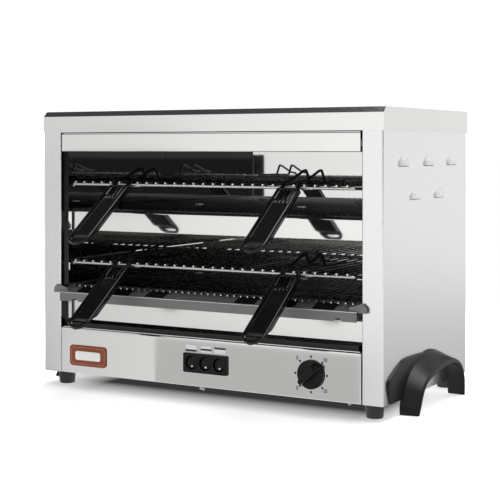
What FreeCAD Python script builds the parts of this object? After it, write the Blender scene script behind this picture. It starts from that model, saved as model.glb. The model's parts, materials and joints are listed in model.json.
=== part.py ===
"""A two-level quartz toaster for a bar counter, in polished sheet steel.

The front is open. Each level has a wire rack on runners, pulled out by two
black moulded handles. Three groups of quartz tubes lie above, between and
below the racks, behind cover strips and wire guards. A crumb tray slides
under them, and the control panel along the bottom carries three rockers and
a timer knob. The cabinet stands on four rubber feet, with a moulded arch low
on each side.

Millimetres. X runs to the right, Y to the back, Z up from the counter.
Along Y the origin is at the middle of the whole toaster, handles included.
"""
import FreeCAD, Part
import Sketcher
import math
import os
import re

V = FreeCAD.Vector

# Driving sizes. Heights called level or base are measured up from the counter,
# and setbacks back from the front of the lid.
SIZES = {
    # Cabinet
    "lid_width": 600.0,
    "lid_depth": 329.0,
    "overall_height": 440.0,
    "lid_skirt": 25.4,
    "lid_bevel": 8.0,
    "lid_overhang": 1.2,
    "lid_rear_overhang": 3.0,
    "sheet": 1.0,
    "bend": 1.6,
    "foot_height": 22.0,
    "post_width": 32.6,
    "post_return": 16.0,
    "rear_flange": 20.0,
    "panel_below_lid": 10.0,
    "return_depth": 12.0,
    # Fascia, cover strips and control panel
    "fascia_height": 28.1,
    "fascia_gap": 2.4,
    "strip_setback": 20.0,
    "bottom_strip_base": 105.0,
    "bottom_strip_height": 32.0,
    "middle_strip_base": 249.0,
    "middle_strip_height": 31.0,
    "control_height": 72.5,
    "control_gap": 1.3,
    "control_top_bend": 3.0,
    # Hot cavity
    "wall_clear": 3.2,
    "cavity_setback": 16.0,
    "cavity_back": 314.0,
    "ledge_leg": 11.0,
    # Louvres
    "louvre_width": 42.0,
    "louvre_height": 14.0,
    "louvre_out": 4.5,
    "louvre_bulge": 12.5,
    "louvre_pitch": 94.0,
    "louvre_upper_level": 356.0,
    "louvre_lower_level": 307.0,
    "louvre_upper_middle": 168.0,
    "louvre_lower_middle": 163.0,
    # Racks
    "rack_half_width": 255.0,
    "rack_setback": 10.0,
    "rack_back": 302.0,
    "rack_rod_radius": 2.25,
    "rack_wire_radius": 1.5,
    "rack_wire_pitch": 17.2,
    "rack_wire_overhang": 3.0,
    "rack_corner": 9.0,
    "weld_sink": 0.3,
    "upper_rack_level": 324.0,
    "lower_rack_level": 198.5,
    "seat_gap": 0.3,
    # Rack handles
    "handle_offset": 150.0,
    "handle_length": 142.0,
    "handle_width": 37.0,
    "handle_thickness": 10.0,
    "handle_slope": 36.0,
    "handle_drop": 3.0,
    "handle_forward": 7.0,
    "handle_rim": 4.0,
    "handle_recess": 3.0,
    "handle_ring": 24.0,
    "handle_bar": 6.0,
    "handle_round": 1.6,
    "handle_rib_length": 26.0,
    "prong_radius": 2.0,
    "prong_gauge": 26.0,
    "prong_socket": 24.0,
    "prong_reach": 150.0,
    "prong_hump": 13.0,
    "clip_wall": 1.2,
    "clip_left": 16.0,
    "clip_right": 26.0,
    # Guards
    "guard_wire_radius": 1.1,
    "guard_wire_pitch": 11.5,
    "guard_rod_radius": 2.0,
    "bottom_guard_level": 160.8,
    "frame_sheet": 1.2,
    "frame_front": 7.0,
    "frame_crest_level": 162.5,
    "frame_edge_level": 151.5,
    "frame_drop": 14.0,
    "frame_ear": 13.0,
    "frame_ear_rise": 12.5,
    "frame_slot_length": 36.0,
    "frame_slot_width": 8.0,
    "frame_slot_first": 80.0,
    "frame_slot_pitch": 65.0,
    "frame_notch": 7.0,
    "frame_notch_offset": 232.0,
    # Heating tubes
    "tube_radius": 5.5,
    "tube_pitch": 95.0,
    "tube_half_length": 252.0,
    "ceramic_radius": 8.0,
    "ceramic_length": 30.0,
    "ceramic_overlap": 6.0,
    "fit": 0.2,
    "top_tube_drop": 14.2,
    "middle_tube_level": 265.0,
    "bottom_tube_level": 121.0,
    # Crumb tray
    "tray_gap": 0.3,
    "tray_height": 6.5,
    "tray_side_gap": 3.5,
    "tray_setback": 7.0,
    # Controls
    "knob_offset": 186.2,
    "control_level": 57.6,
    "knob_radius": 21.0,
    "knob_skirt": 4.0,
    "knob_height": 19.0,
    "knob_grip_width": 13.0,
    "knob_gap": 0.5,
    "shaft_radius": 3.0,
    "running_gap": 0.05,
    "timer_size": 42.0,
    "timer_depth": 34.0,
    "bush_radius": 4.8,
    "switch_middle": 8.6,
    "bezel_width": 78.0,
    "bezel_height": 29.5,
    "bezel_proud": 2.4,
    "bezel_lip": 2.2,
    "bezel_depth": 11.0,
    "rocker_pitch": 24.4,
    "rocker_radius": 9.7,
    "rocker_gap": 0.6,
    "rocker_thickness": 6.0,
    "rocker_tilt": 8.0,
    "rocker_pin_radius": 1.2,
    "switch_block_depth": 24.0,
    "plate_offset": 211.0,
    "plate_level": 51.2,
    "plate_width": 72.0,
    "plate_height": 33.0,
    "plate_proud": 1.2,
    "plate_corner": 6.0,
    # Feet and side arches
    "foot_inset": 25.0,
    "foot_setback": 28.0,
    "foot_top_radius": 14.0,
    "foot_bottom_radius": 12.3,
    "foot_recess_radius": 5.5,
    "foot_recess": 3.5,
    "screw_radius": 2.0,
    "screw_head_radius": 4.0,
    "screw_head": 2.2,
    "arch_setback": 58.0,
    "arch_length": 195.0,
    "arch_height": 80.0,
    "arch_out": 27.0,
    "arch_wall": 6.5,
    "arch_lift": 0.8,
    "arch_flange": 3.5,
    # Back
    "terminal_half": 28.0,
    "gland_offset": 230.0,
    "gland_level": 52.0,
    "gland_out": 15.0,
    "gland_radius": 10.0,
    "gland_bore": 4.2,
    "gland_flange": 4.0,
    "vent_width": 5.0,
    "vent_height": 40.0,
    "vent_pitch": 14.0,
}

doc = FreeCAD.newDocument("toaster")


class SizeSheet:
    """The spreadsheet of sizes. Each number is also an attribute of this object."""

    def __init__(self, document):
        self.spreadsheet = document.addObject("Spreadsheet::Sheet", "Sizes")
        self.rows_used = 0

    def put(self, name, value):
        """Write one plain number beside its name and alias the cell."""
        self.rows_used += 1
        self.spreadsheet.set(f"A{self.rows_used}", name)
        self.spreadsheet.set(f"B{self.rows_used}", repr(float(value)))
        self.spreadsheet.setAlias(f"B{self.rows_used}", name)
        setattr(self, name, float(value))


s = SizeSheet(doc)
for size_name, size_value in SIZES.items():
    s.put(size_name, size_value)

# Places worked out from the driving sizes
handle_angle = math.radians(s.handle_slope)
handle_reach = ((s.handle_length - s.handle_round) * math.cos(handle_angle)
                + (s.handle_thickness / 2 - s.handle_round) * math.sin(handle_angle)
                + s.handle_round + s.handle_forward - s.rack_setback)
s.put("front", (handle_reach - s.lid_depth - s.gland_out) / 2)
s.put("back", s.front + s.lid_depth)
s.put("panel_back", s.back - s.lid_rear_overhang)
s.put("shell_half", s.lid_width / 2 - s.lid_overhang)
s.put("face", s.front + s.lid_overhang)
s.put("post_edge", s.shell_half - s.post_width)
s.put("panel_top", s.overall_height - s.panel_below_lid)
s.put("skirt_base", s.overall_height - s.lid_bevel - s.lid_skirt)
s.put("cavity_half", s.post_edge - s.wall_clear - s.sheet)
s.put("cavity_front", s.front + s.cavity_setback)
s.put("cavity_rear", s.front + s.cavity_back)
s.put("cavity_middle", (s.cavity_front + s.cavity_rear) / 2)
s.put("control_top", s.foot_height + s.control_height)
s.put("cavity_floor", s.control_top + s.sheet)
s.put("fascia_top", s.skirt_base - s.fascia_gap)
s.put("fascia_base", s.fascia_top - s.fascia_height)
s.put("fascia_half", s.post_edge - s.fascia_gap)
s.put("top_tube_level", s.fascia_top - s.top_tube_drop)
# A louvre is the cap of an egg shape, whose own half axes follow from the cap's size
cap_share = math.sqrt(1 - (1 - s.louvre_out / s.louvre_bulge) ** 2)
s.put("louvre_rise", s.louvre_height / cap_share)
s.put("louvre_spread", s.louvre_width / 2 / cap_share)
s.put("strip_face", s.front + s.strip_setback)
s.put("rack_front", s.front + s.rack_setback)
s.put("rack_rear", s.front + s.rack_back)
s.put("control_half", s.post_edge - s.control_gap)

finished = []


def bind(thing, **expressions):
    """Bind properties to expressions written with the sheet's own names.

    A double underscore in a property's name stands for a dot.
    """
    for name, text in expressions.items():
        linked = re.sub(r"\b([a-z][a-z_]+)\b", r"Sizes.\1", text)
        thing.setExpression(name.replace("__", "."), linked)
    return thing


def place(thing, x="0", y="0", z="0"):
    """Put a thing's origin at a place given by three expressions."""
    return bind(thing, Placement__Base__x=x, Placement__Base__y=y, Placement__Base__z=z)


def slab(name, x, y, z):
    """A box from low to high along each axis, each a pair of expressions."""
    box = doc.addObject("Part::Box", name)
    bind(box, Length=f"({x[1]}) - ({x[0]})", Width=f"({y[1]}) - ({y[0]})", Height=f"({z[1]}) - ({z[0]})")
    return place(box, x[0], y[0], z[0])


AXIS_TURN = {
    "X": FreeCAD.Rotation(V(0, 1, 0), 90),
    "Y": FreeCAD.Rotation(V(1, 0, 0), -90),
    "Z": FreeCAD.Rotation(),
}


def rod(name, axis, radius, length, x, y, z):
    """A cylinder that starts at a place and runs along one axis."""
    cylinder = doc.addObject("Part::Cylinder", name)
    cylinder.Placement.Rotation = AXIS_TURN[axis]
    bind(cylinder, Radius=radius, Height=length)
    return place(cylinder, x, y, z)


def fine_wire(name, axis, radius, length, x, y, z):
    """A thin wire as an eight-sided bar, which starts at a place and runs along one axis."""
    bar = doc.addObject("Part::Prism", name)
    bar.Polygon = 8
    bar.Placement.Rotation = AXIS_TURN[axis]
    bind(bar, Circumradius=radius, Height=length)
    return place(bar, x, y, z)


def join(name, pieces):
    """The union of several solids."""
    union = doc.addObject("Part::MultiFuse", name)
    union.Shapes = pieces
    return union


def carve(name, base, tools):
    """A solid less one or more others."""
    cut = doc.addObject("Part::Cut", name)
    cut.Base = base
    cut.Tool = tools[0] if len(tools) == 1 else join(name + "_tools", tools)
    return cut


def group(name, pieces):
    """Several separate solids kept as one piece of the list."""
    compound = doc.addObject("Part::Compound", name)
    compound.Links = pieces
    return compound


def mirror(name, source):
    """The left-hand twin of a right-hand piece."""
    twin = doc.addObject("Part::Mirroring", name)
    twin.Source = source
    twin.Normal = V(1, 0, 0)
    return twin


def finish(thing, label):
    """Name a finished piece of the toaster."""
    thing.Label = label
    finished.append(thing)
    return thing


def origin_plane(body, role):
    """One of a body's own base planes."""
    return next(feature for feature in body.Origin.OriginFeatures if feature.Role == role)


def new_sketch(body, role, name):
    """A sketch on one of a body's base planes."""
    sketch = body.newObject("Sketcher::SketchObject", name)
    sketch.AttachmentSupport = [(origin_plane(body, role), "")]
    sketch.MapMode = "FlatFace"
    return sketch


def pin_point(sketch, line, end, x, y):
    """Hold one end of a line at a place given by two expressions."""
    now = sketch.getPoint(line, end)
    for kind, value, text in (("DistanceX", now.x, x), ("DistanceY", now.y, y)):
        if text:
            index = sketch.addConstraint(Sketcher.Constraint(kind, -1, 1, line, end, value))
            bind(sketch, **{f"Constraints[{index}]": text})


def polygon(body, role, name, points):
    """A closed outline with straight sides through points given by pairs of expressions."""
    sketch = new_sketch(body, role, name)
    count = len(points)
    for index in range(count):
        around = 2 * math.pi * index / count
        onward = 2 * math.pi * (index + 1) / count
        start = V(math.cos(around), math.sin(around), 0)
        end = V(math.cos(onward), math.sin(onward), 0)
        sketch.addGeometry(Part.LineSegment(start, end), False)
    for index in range(count):
        sketch.addConstraint(Sketcher.Constraint("Coincident", index, 2, (index + 1) % count, 1))
    for index, (x, y) in enumerate(points):
        pin_point(sketch, index, 1, x, y)
    return sketch


def bend_edges(feature, spots, reach):
    """The names of a pad's long edges that pass through the given places of its outline."""
    names = []
    for index, edge in enumerate(feature.Shape.Edges):
        ends = [vertex.Point for vertex in edge.Vertexes]
        if len(ends) != 2 or abs((ends[1] - ends[0]).Length - reach) > 0.001:
            continue
        if any((ends[0] - spot).Length < 0.001 or (ends[1] - spot).Length < 0.001 for spot in spots):
            names.append(f"Edge{index + 1}")
    return names


PAD_AXIS = {"XY_Plane": V(0, 0, 1), "XZ_Plane": V(0, -1, 0), "YZ_Plane": V(1, 0, 0)}


def folded(name, role, outline, length, bends=()):
    """A folded sheet: its section drawn on a base plane and drawn out to a length.

    bends are pairs of a corner of the outline and the radius that it is bent to.
    """
    body = doc.addObject("PartDesign::Body", name)
    sketch = polygon(body, role, name + "_section", outline)
    pad = body.newObject("PartDesign::Pad", name + "_pad")
    pad.Profile = sketch
    bind(pad, Length=length)
    base = pad
    for number, (corners, radius) in enumerate(bends):
        doc.recompute()
        spots = [sketch.Placement.multVec(sketch.getPoint(corner, 1)) for corner in corners]
        edges = bend_edges(base, spots, pad.Length.Value)
        fillet = body.newObject("PartDesign::Fillet", f"{name}_bend{number}")
        fillet.Base = (base, edges)
        bind(fillet, Radius=radius)
        body.Tip = fillet
        base = fillet
    return body


def channel(y, z, depth):
    """The outline of a channel that opens backwards, in the Y and Z plane."""
    low, high = z
    return [
        (y, low), (f"{y} + {depth}", low), (f"{y} + {depth}", f"{low} + sheet"),
        (f"{y} + sheet", f"{low} + sheet"), (f"{y} + sheet", f"{high} - sheet"),
        (f"{y} + {depth}", f"{high} - sheet"), (f"{y} + {depth}", high), (y, high),
    ]


def across(body, half):
    """Move a section that is drawn out along X so that it is centred."""
    return place(body, f"-({half})")


# The cabinet's shell

def make_lid():
    """The lid: one sheet with a bevelled front edge and a skirt all round."""
    body = doc.addObject("PartDesign::Body", "lid_body")
    sketch = polygon(body, "YZ_Plane", "lid_section", [
        ("front", "skirt_base"), ("back", "skirt_base"), ("back", "overall_height"),
        ("front + lid_bevel", "overall_height"), ("front", "overall_height - lid_bevel"),
    ])
    pad = body.newObject("PartDesign::Pad", "lid_pad")
    pad.Profile = sketch
    bind(pad, Length="lid_width")
    doc.recompute()
    underside = min(range(len(pad.Shape.Faces)), key=lambda i: pad.Shape.Faces[i].CenterOfMass.z)
    hollow = body.newObject("PartDesign::Thickness", "lid_hollow")
    hollow.Base = (pad, [f"Face{underside + 1}"])
    hollow.Reversed = True
    hollow.Join = "Intersection"
    bind(hollow, Value="sheet")
    across(body, "lid_width / 2")
    holes = [rod(f"lid_hole{number}", "Y", "screw_radius + fit / 2", "sheet * 3", x, "back - sheet * 2", z)
             for number, (x, z) in enumerate(lid_screw_places())]
    finish(carve("lid_cut", body, holes), "lid")


def louvre_cap(name, level, y, wall, behind, below):
    """The part of an egg shape that stands out of the side panel, cut flat at the bottom."""
    egg = doc.addObject("Part::Ellipsoid", name + "_egg")
    egg.Placement.Rotation = FreeCAD.Rotation(V(0, 0, 1), 180)
    bind(egg, Radius1=f"louvre_rise - {wall}", Radius2=f"louvre_bulge - {wall}",
         Radius3=f"louvre_spread - {wall}")
    place(egg, "shell_half + louvre_out - louvre_bulge", y, level)
    window = slab(name + "_window", (f"shell_half - {behind}", "shell_half + louvre_out * 2"),
                  (f"{y} - louvre_width", f"{y} + louvre_width"),
                  (f"{level} - {below}", f"{level} + louvre_height * 2"))
    cap = doc.addObject("Part::Common", name)
    cap.Base = egg
    cap.Tool = window
    return cap


def make_side_panels():
    """The side panels. Each wraps round to a front post and a rear flange."""
    outline = [
        ("post_edge", "face"), ("shell_half", "face"), ("shell_half", "panel_back"),
        ("shell_half - rear_flange", "panel_back"), ("shell_half - rear_flange", "panel_back - sheet"),
        ("shell_half - sheet", "panel_back - sheet"), ("shell_half - sheet", "face + sheet"),
        ("post_edge + sheet", "face + sheet"), ("post_edge + sheet", "face + post_return"),
        ("post_edge", "face + post_return"),
    ]
    sheet_body = folded("side_sheet", "XY_Plane", outline, "panel_top - foot_height",
                        [((0, 1, 2), "bend")])
    place(sheet_body, z="foot_height")
    places = [("louvre_upper_level", f"front + louvre_upper_middle + louvre_pitch * {step}")
              for step in (-1, 0, 1)]
    places += [("louvre_lower_level", f"front + louvre_lower_middle + louvre_pitch * {step}")
               for step in (-0.5, 0.5)]
    scoops = []
    openings = []
    for number, (level, y) in enumerate(places):
        scoops.append(louvre_cap(f"louvre_{number}", level, y, "0", "sheet / 2", "0"))
        openings.append(louvre_cap(f"louvre_{number}_hollow", level, y, "sheet", "sheet * 2", "sheet"))
    for number, level in enumerate(back_screw_levels()):
        openings.append(rod(f"side_hole{number}", "Y", "screw_radius + fit / 2", "sheet * 3",
                            "shell_half - rear_flange / 2", "panel_back - sheet * 2", level))
    blank = join("side_with_scoops", [sheet_body] + scoops)
    right = carve("side_right", blank, openings)
    finish(right, "side_panel_right")
    finish(mirror("side_left", right), "side_panel_left")


def make_fascia():
    """The flush strip above the opening, which hides the top tubes."""
    body = folded("fascia", "YZ_Plane", channel("face", ("fascia_base", "fascia_top"), "return_depth"),
                  "fascia_half * 2", [((0, 7), "bend")])
    finish(across(body, "fascia_half"), "upper_fascia")


def make_strip(name, base, height):
    """A polished cover strip in front of one group of tubes."""
    body = folded(name + "_body", "YZ_Plane",
                  channel("strip_face", (base, f"{base} + {height}"), "return_depth"),
                  "cavity_half * 2", [((0, 7), "bend")])
    finish(across(body, "cavity_half"), name)


def make_control_panel():
    """The control panel, with its cut-outs for the timer's bush and the switch bezel."""
    body = folded("control_sheet", "YZ_Plane",
                  channel("face", ("foot_height", "control_top"), "return_depth"),
                  "control_half * 2", [((7,), "control_top_bend"), ((0,), "bend")])
    across(body, "control_half")
    bush_hole = rod("bush_hole", "Y", "bush_radius + fit", "sheet * 3",
                    "knob_offset", "face - sheet", "control_level")
    switch_hole = slab("switch_hole",
                       ("switch_middle - bezel_width / 2 + bezel_lip - fit",
                        "switch_middle + bezel_width / 2 - bezel_lip + fit"),
                       ("face - sheet", "face + sheet * 2"),
                       ("control_level - bezel_height / 2 + bezel_lip - fit",
                        "control_level + bezel_height / 2 - bezel_lip + fit"))
    finish(carve("control_cut", body, [bush_hole, switch_hole]), "control_panel")


def make_front_plate():
    """The raised plate at the left of the control panel."""
    plate = slab("plate_blank", ("-plate_offset - plate_width / 2", "-plate_offset + plate_width / 2"),
                 ("face - plate_proud", "face"),
                 ("plate_level - plate_height / 2", "plate_level + plate_height / 2"))
    rounded = doc.addObject("Part::Fillet", "plate_rounded")
    rounded.Base = plate
    doc.recompute()
    rounded.Edges = [(index + 1, s.plate_corner, s.plate_corner)
                     for index, edge in enumerate(plate.Shape.Edges)
                     if edge.BoundBox.YLength > s.plate_proud / 2]
    finish(rounded, "front_plate")


def make_base_and_back():
    """The base pan, the rear panel with its vents, and the plate over the controls."""
    pan = folded("pan_sheet", "XZ_Plane", [
        ("-(shell_half - sheet - fit)", "foot_height"), ("shell_half - sheet - fit", "foot_height"),
        ("shell_half - sheet - fit", "foot_height + return_depth"),
        ("shell_half - sheet * 2 - fit", "foot_height + return_depth"),
        ("shell_half - sheet * 2 - fit", "foot_height + sheet"),
        ("-(shell_half - sheet * 2 - fit)", "foot_height + sheet"),
        ("-(shell_half - sheet * 2 - fit)", "foot_height + return_depth"),
        ("-(shell_half - sheet - fit)", "foot_height + return_depth"),
    ], "panel_back - sheet * 2 - fit - (face + post_return + sheet)")
    place(pan, y="panel_back - sheet * 2 - fit")
    holes = [rod(f"pan_hole_{number}", "Z", "screw_radius + fit / 2", "sheet * 3", x, y,
                 "foot_height - sheet")
             for number, (x, y) in enumerate(foot_places())]
    finish(carve("pan_cut", pan, holes), "base_pan")
    plate = slab("back_plate", ("-(shell_half - sheet - fit)", "shell_half - sheet - fit"),
                 ("panel_back - sheet * 2", "panel_back - sheet"),
                 ("foot_height + sheet", "panel_top - sheet"))
    cuts = []
    for row, level in enumerate(("control_top + vent_height", "fascia_base - vent_height / 2")):
        for number in range(-9, 10):
            middle = f"vent_pitch * {number}"
            cuts.append(slab(f"vent_{row}_{number + 9}",
                             (f"{middle} - vent_width / 2", f"{middle} + vent_width / 2"),
                             ("panel_back - sheet * 3", "panel_back"),
                             (level, f"{level} + vent_height")))
    cuts.append(rod("gland_hole", "Y", "gland_radius - sheet", "sheet * 4", "-gland_offset",
                    "panel_back - sheet * 3", "gland_level"))
    for number, (x, z) in enumerate(back_screw_places() + lid_screw_places()):
        cuts.append(rod(f"back_hole_{number}", "Y", "screw_radius + fit / 2", "sheet * 4", x,
                        "panel_back - sheet * 3", z))
    finish(carve("back_cut", plate, cuts), "rear_panel")
    finish(slab("floor", ("-cavity_half", "cavity_half"), ("face + sheet * 2", "cavity_rear"),
                ("control_top", "cavity_floor")), "cavity_floor_plate")


def foot_places():
    """Where the feet stand."""
    inset = "shell_half - foot_inset"
    places = []
    for x in (f"-({inset})", inset):
        places.append((x, "front + foot_setback"))
        places.append((x, "panel_back - foot_setback"))
    return places


def back_screw_levels():
    """The heights of the screws down each edge of the rear panel."""
    return "foot_height + vent_height", "overall_height / 2", "panel_top - vent_height"


def back_screw_places():
    """Where screws hold the rear panel to the side panels' flanges."""
    x = "shell_half - rear_flange / 2"
    return [(f"{side}({x})", level) for side in ("-", "") for level in back_screw_levels()]


def lid_screw_places():
    """Where screws hold the lid's rear skirt."""
    return [(f"{side} * lid_width / 3", "skirt_base + lid_skirt / 2") for side in (-1, 0, 1)]


# The hot cavity

def make_cavity():
    """The polished walls round the racks, and the reflector over the top tubes."""
    wall = folded("wall_sheet", "XY_Plane", [
        ("cavity_half", "cavity_front"), ("post_edge - fit", "cavity_front"),
        ("post_edge - fit", "cavity_front + sheet"), ("cavity_half + sheet", "cavity_front + sheet"),
        ("cavity_half + sheet", "cavity_rear"), ("cavity_half", "cavity_rear"),
    ], "fascia_top - cavity_floor")
    place(wall, z="cavity_floor")
    holes = [rod(f"wall_hole_{number}", "X", "ceramic_radius + fit", "sheet * 3", "cavity_half - sheet", y, z)
             for number, (y, z) in enumerate(tube_places(("top", "middle", "bottom")))]
    right = carve("wall_cut", wall, holes)
    finish(right, "inner_wall_right")
    finish(mirror("wall_mirror", right), "inner_wall_left")
    back = slab("back_sheet", ("-cavity_half - sheet", "cavity_half + sheet"),
                ("cavity_rear", "cavity_rear + sheet"), ("control_top", "fascia_top"))
    finish(back, "inner_back_wall")
    finish(slab("reflector", ("-cavity_half - sheet", "cavity_half + sheet"),
                ("face + sheet * 2", "cavity_rear + sheet"),
                ("fascia_top", "fascia_top + sheet")), "top_reflector")


def make_ledge(name, z, y_start, y_end):
    """A pair of angles on the side walls. z is the level of the top of the seat."""
    body = folded(name + "_angle", "XZ_Plane", [
        ("cavity_half", z), ("cavity_half - ledge_leg", z),
        ("cavity_half - ledge_leg", f"{z} - sheet"), ("cavity_half - sheet", f"{z} - sheet"),
        ("cavity_half - sheet", f"{z} - ledge_leg"), ("cavity_half", f"{z} - ledge_leg"),
    ], f"{y_end} - ({y_start})")
    place(body, y=y_end)
    twin = mirror(name + "_twin", body)
    finish(group(name + "_pair", [body, twin]), name)


def make_rack(level_name, level):
    """A wire rack: a bent frame rod with wires welded on top of it."""
    rack = level_name + "_rack"
    half = "rack_half_width - rack_rod_radius"
    front_run = rod(rack + "_front", "X", "rack_rod_radius", f"({half} - rack_corner) * 2",
                    f"-({half} - rack_corner)", "rack_front", level)
    rear_run = rod(rack + "_rear", "X", "rack_rod_radius", f"({half} - rack_corner) * 2",
                   f"-({half} - rack_corner)", "rack_rear", level)
    pieces = [front_run, rear_run]
    for side, sign in (("left", "-"), ("right", "")):
        pieces.append(rod(f"{rack}_{side}", "Y", "rack_rod_radius",
                          "rack_rear - rack_front - rack_corner * 2",
                          f"{sign}({half})", "rack_front + rack_corner", level))
        for end, y, turn in (("front", "rack_front + rack_corner", -90),
                             ("rear", "rack_rear - rack_corner", 0)):
            corner = doc.addObject("Part::Torus", f"{rack}_{side}_{end}")
            start = turn if side == "right" else (180 if end == "front" else 90)
            corner.Placement.Rotation = FreeCAD.Rotation(V(0, 0, 1), start)
            corner.Angle3 = 90
            bind(corner, Radius1="rack_corner", Radius2="rack_rod_radius")
            place(corner, f"{sign}({half} - rack_corner)", y, level)
            pieces.append(corner)
    height = f"{level} + rack_rod_radius + rack_wire_radius - weld_sink"
    usable = 2 * (s.rack_half_width - s.rack_rod_radius - s.rack_corner)
    count = int(usable / s.rack_wire_pitch) + 1
    for number in range(count):
        shift = number - (count - 1) / 2
        pieces.append(rod(f"{rack}_wire{number}", "Y", "rack_wire_radius",
                          "rack_rear - rack_front + rack_wire_overhang * 2", f"rack_wire_pitch * {shift}",
                          "rack_front - rack_wire_overhang", height))
    finish(join(rack + "_grid", pieces), rack)


def make_guard(name, x_half, y_start, y_end, wire_level, rod_above):
    """A wire guard: thin wires front to back, welded to three cross rods."""
    sign = "+" if rod_above else "-"
    rod_level = f"{wire_level} {sign} (guard_wire_radius + guard_rod_radius - weld_sink)"
    pieces = []
    for number, share in enumerate((0.06, 0.5, 0.94)):
        y = f"{y_start} + ({y_end} - ({y_start})) * {share}"
        pieces.append(fine_wire(f"{name}_rod{number}", "X", "guard_rod_radius", f"({x_half}) * 2",
                                f"-({x_half})", y, rod_level))
    count = int(2 * (s.cavity_half - s.ledge_leg) / s.guard_wire_pitch) + 1
    for number in range(count):
        shift = number - (count - 1) / 2
        pieces.append(fine_wire(f"{name}_wire{number}", "Y", "guard_wire_radius",
                                f"{y_end} - ({y_start})", f"guard_wire_pitch * {shift}", y_start, wire_level))
    return join(name + "_mesh", pieces)


def make_guards():
    """The guards under the top tubes and on both sides of the middle tubes."""
    inner_front = "strip_face + sheet + fit"
    inner_rear = "cavity_rear - fit"
    half = "cavity_half - ledge_leg"
    finish(make_guard("top_guard", half, "face + sheet + fit * 3", inner_rear,
                      "fascia_base + sheet + guard_wire_radius", True), "top_guard")
    above_strip = "middle_strip_base + middle_strip_height + guard_rod_radius * 2"
    finish(make_guard("middle_upper_guard", half, inner_front, inner_rear,
                      f"{above_strip} + guard_wire_radius - weld_sink", False), "middle_upper_guard")
    finish(make_guard("middle_lower_guard", half, inner_front, inner_rear,
                      "middle_strip_base + sheet + guard_wire_radius", True), "middle_lower_guard")
    ledges = []
    for name, level in (("top_guard_ledge", "fascia_base + sheet"),
                        ("middle_guard_ledge", "middle_strip_base + sheet")):
        body = folded(name, "YZ_Plane", [
            ("cavity_rear", level), ("cavity_rear - return_depth", level),
            ("cavity_rear - return_depth", f"{level} - sheet"), ("cavity_rear - sheet", f"{level} - sheet"),
            ("cavity_rear - sheet", f"{level} - return_depth"), ("cavity_rear", f"{level} - return_depth"),
        ], "(cavity_half - ledge_leg) * 2")
        ledges.append(across(body, "cavity_half - ledge_leg"))
    finish(group("guard_ledge_group", ledges), "guard_ledges")


def make_bottom_guard():
    """The dark sheet frame in front of the lower rack, with the mesh that it carries."""
    flange = folded("frame_flange", "YZ_Plane", [
        ("front - frame_front", "frame_edge_level - frame_drop"),
        ("front - frame_front + frame_sheet", "frame_edge_level - frame_drop"),
        ("front - frame_front + frame_sheet", "frame_edge_level - frame_sheet"),
        ("strip_face + frame_sheet * 3", "frame_crest_level - frame_sheet"),
        ("strip_face + frame_sheet * 3", "frame_crest_level"),
        ("front - frame_front", "frame_edge_level"),
    ], "cavity_half * 2 - fit * 4", [((5,), "bend")])
    across(flange, "cavity_half - fit * 2")
    pieces = [flange]
    outer = "cavity_half - fit * 2"
    inner = "cavity_half - fit * 2 - frame_sheet"
    for side, sign, low, high in (("left", "-", f"-({outer})", f"-({inner})"),
                                  ("right", "", inner, outer)):
        pieces.append(slab(f"frame_side_{side}", (low, high),
                           ("strip_face", "cavity_rear - fit"),
                           ("frame_edge_level", "frame_crest_level")))
        ear = folded(f"frame_ear_{side}", "XZ_Plane", [
            (f"{sign}(cavity_half - frame_ear)", "frame_edge_level - frame_sheet"),
            (f"{sign}(post_edge + frame_ear - wall_clear)", "frame_edge_level - frame_sheet"),
            (f"{sign}(post_edge + frame_ear - wall_clear)", "frame_edge_level + frame_ear_rise / 2"),
            (f"{sign}(post_edge + wall_clear)", "frame_edge_level + frame_ear_rise"),
            (f"{sign}(cavity_half - frame_ear)", "frame_edge_level + frame_ear_rise / 2"),
        ], "frame_sheet")
        place(ear, y="front - frame_front / 2 + frame_sheet")
        pieces.append(ear)
    pieces.append(slab("frame_rear", ("-(cavity_half - fit * 2)", "cavity_half - fit * 2"),
                       ("cavity_rear - fit - frame_sheet", "cavity_rear - fit"),
                       ("frame_edge_level", "frame_crest_level")))
    tools = []
    for side in (-1, 1):
        for number in range(3):
            middle = f"{side} * (frame_slot_first + frame_slot_pitch * {number})"
            tools.append(slab(f"frame_slot_{side + 1}_{number}",
                              (f"{middle} - frame_slot_length / 2", f"{middle} + frame_slot_length / 2"),
                              ("face + frame_slot_width - frame_sheet",
                               "face + frame_slot_width * 2 - frame_sheet"),
                              ("frame_edge_level - frame_drop / 2", "frame_crest_level + frame_drop")))
        tools.append(rod(f"frame_notch_{side + 1}", "Y", "frame_notch", "frame_front",
                         f"{side} * frame_notch_offset", "front - frame_front - frame_sheet",
                         "frame_edge_level - frame_drop - frame_notch / 3"))
    finish(carve("frame_cut", join("frame_blank", pieces), tools), "bottom_guard_frame")
    mesh = make_guard("bottom_guard", "cavity_half - fit * 2 - frame_sheet",
                      "strip_face + frame_sheet * 3 + fit", "cavity_rear - fit * 2 - frame_sheet",
                      "bottom_guard_level", False)
    finish(mesh, "bottom_guard_mesh")


def tube_places(groups):
    """The heights and depths of the tubes of some groups."""
    return [(f"cavity_middle + tube_pitch * {row}", f"{name}_tube_level")
            for name in groups for row in (-1, 0, 1)]


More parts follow.
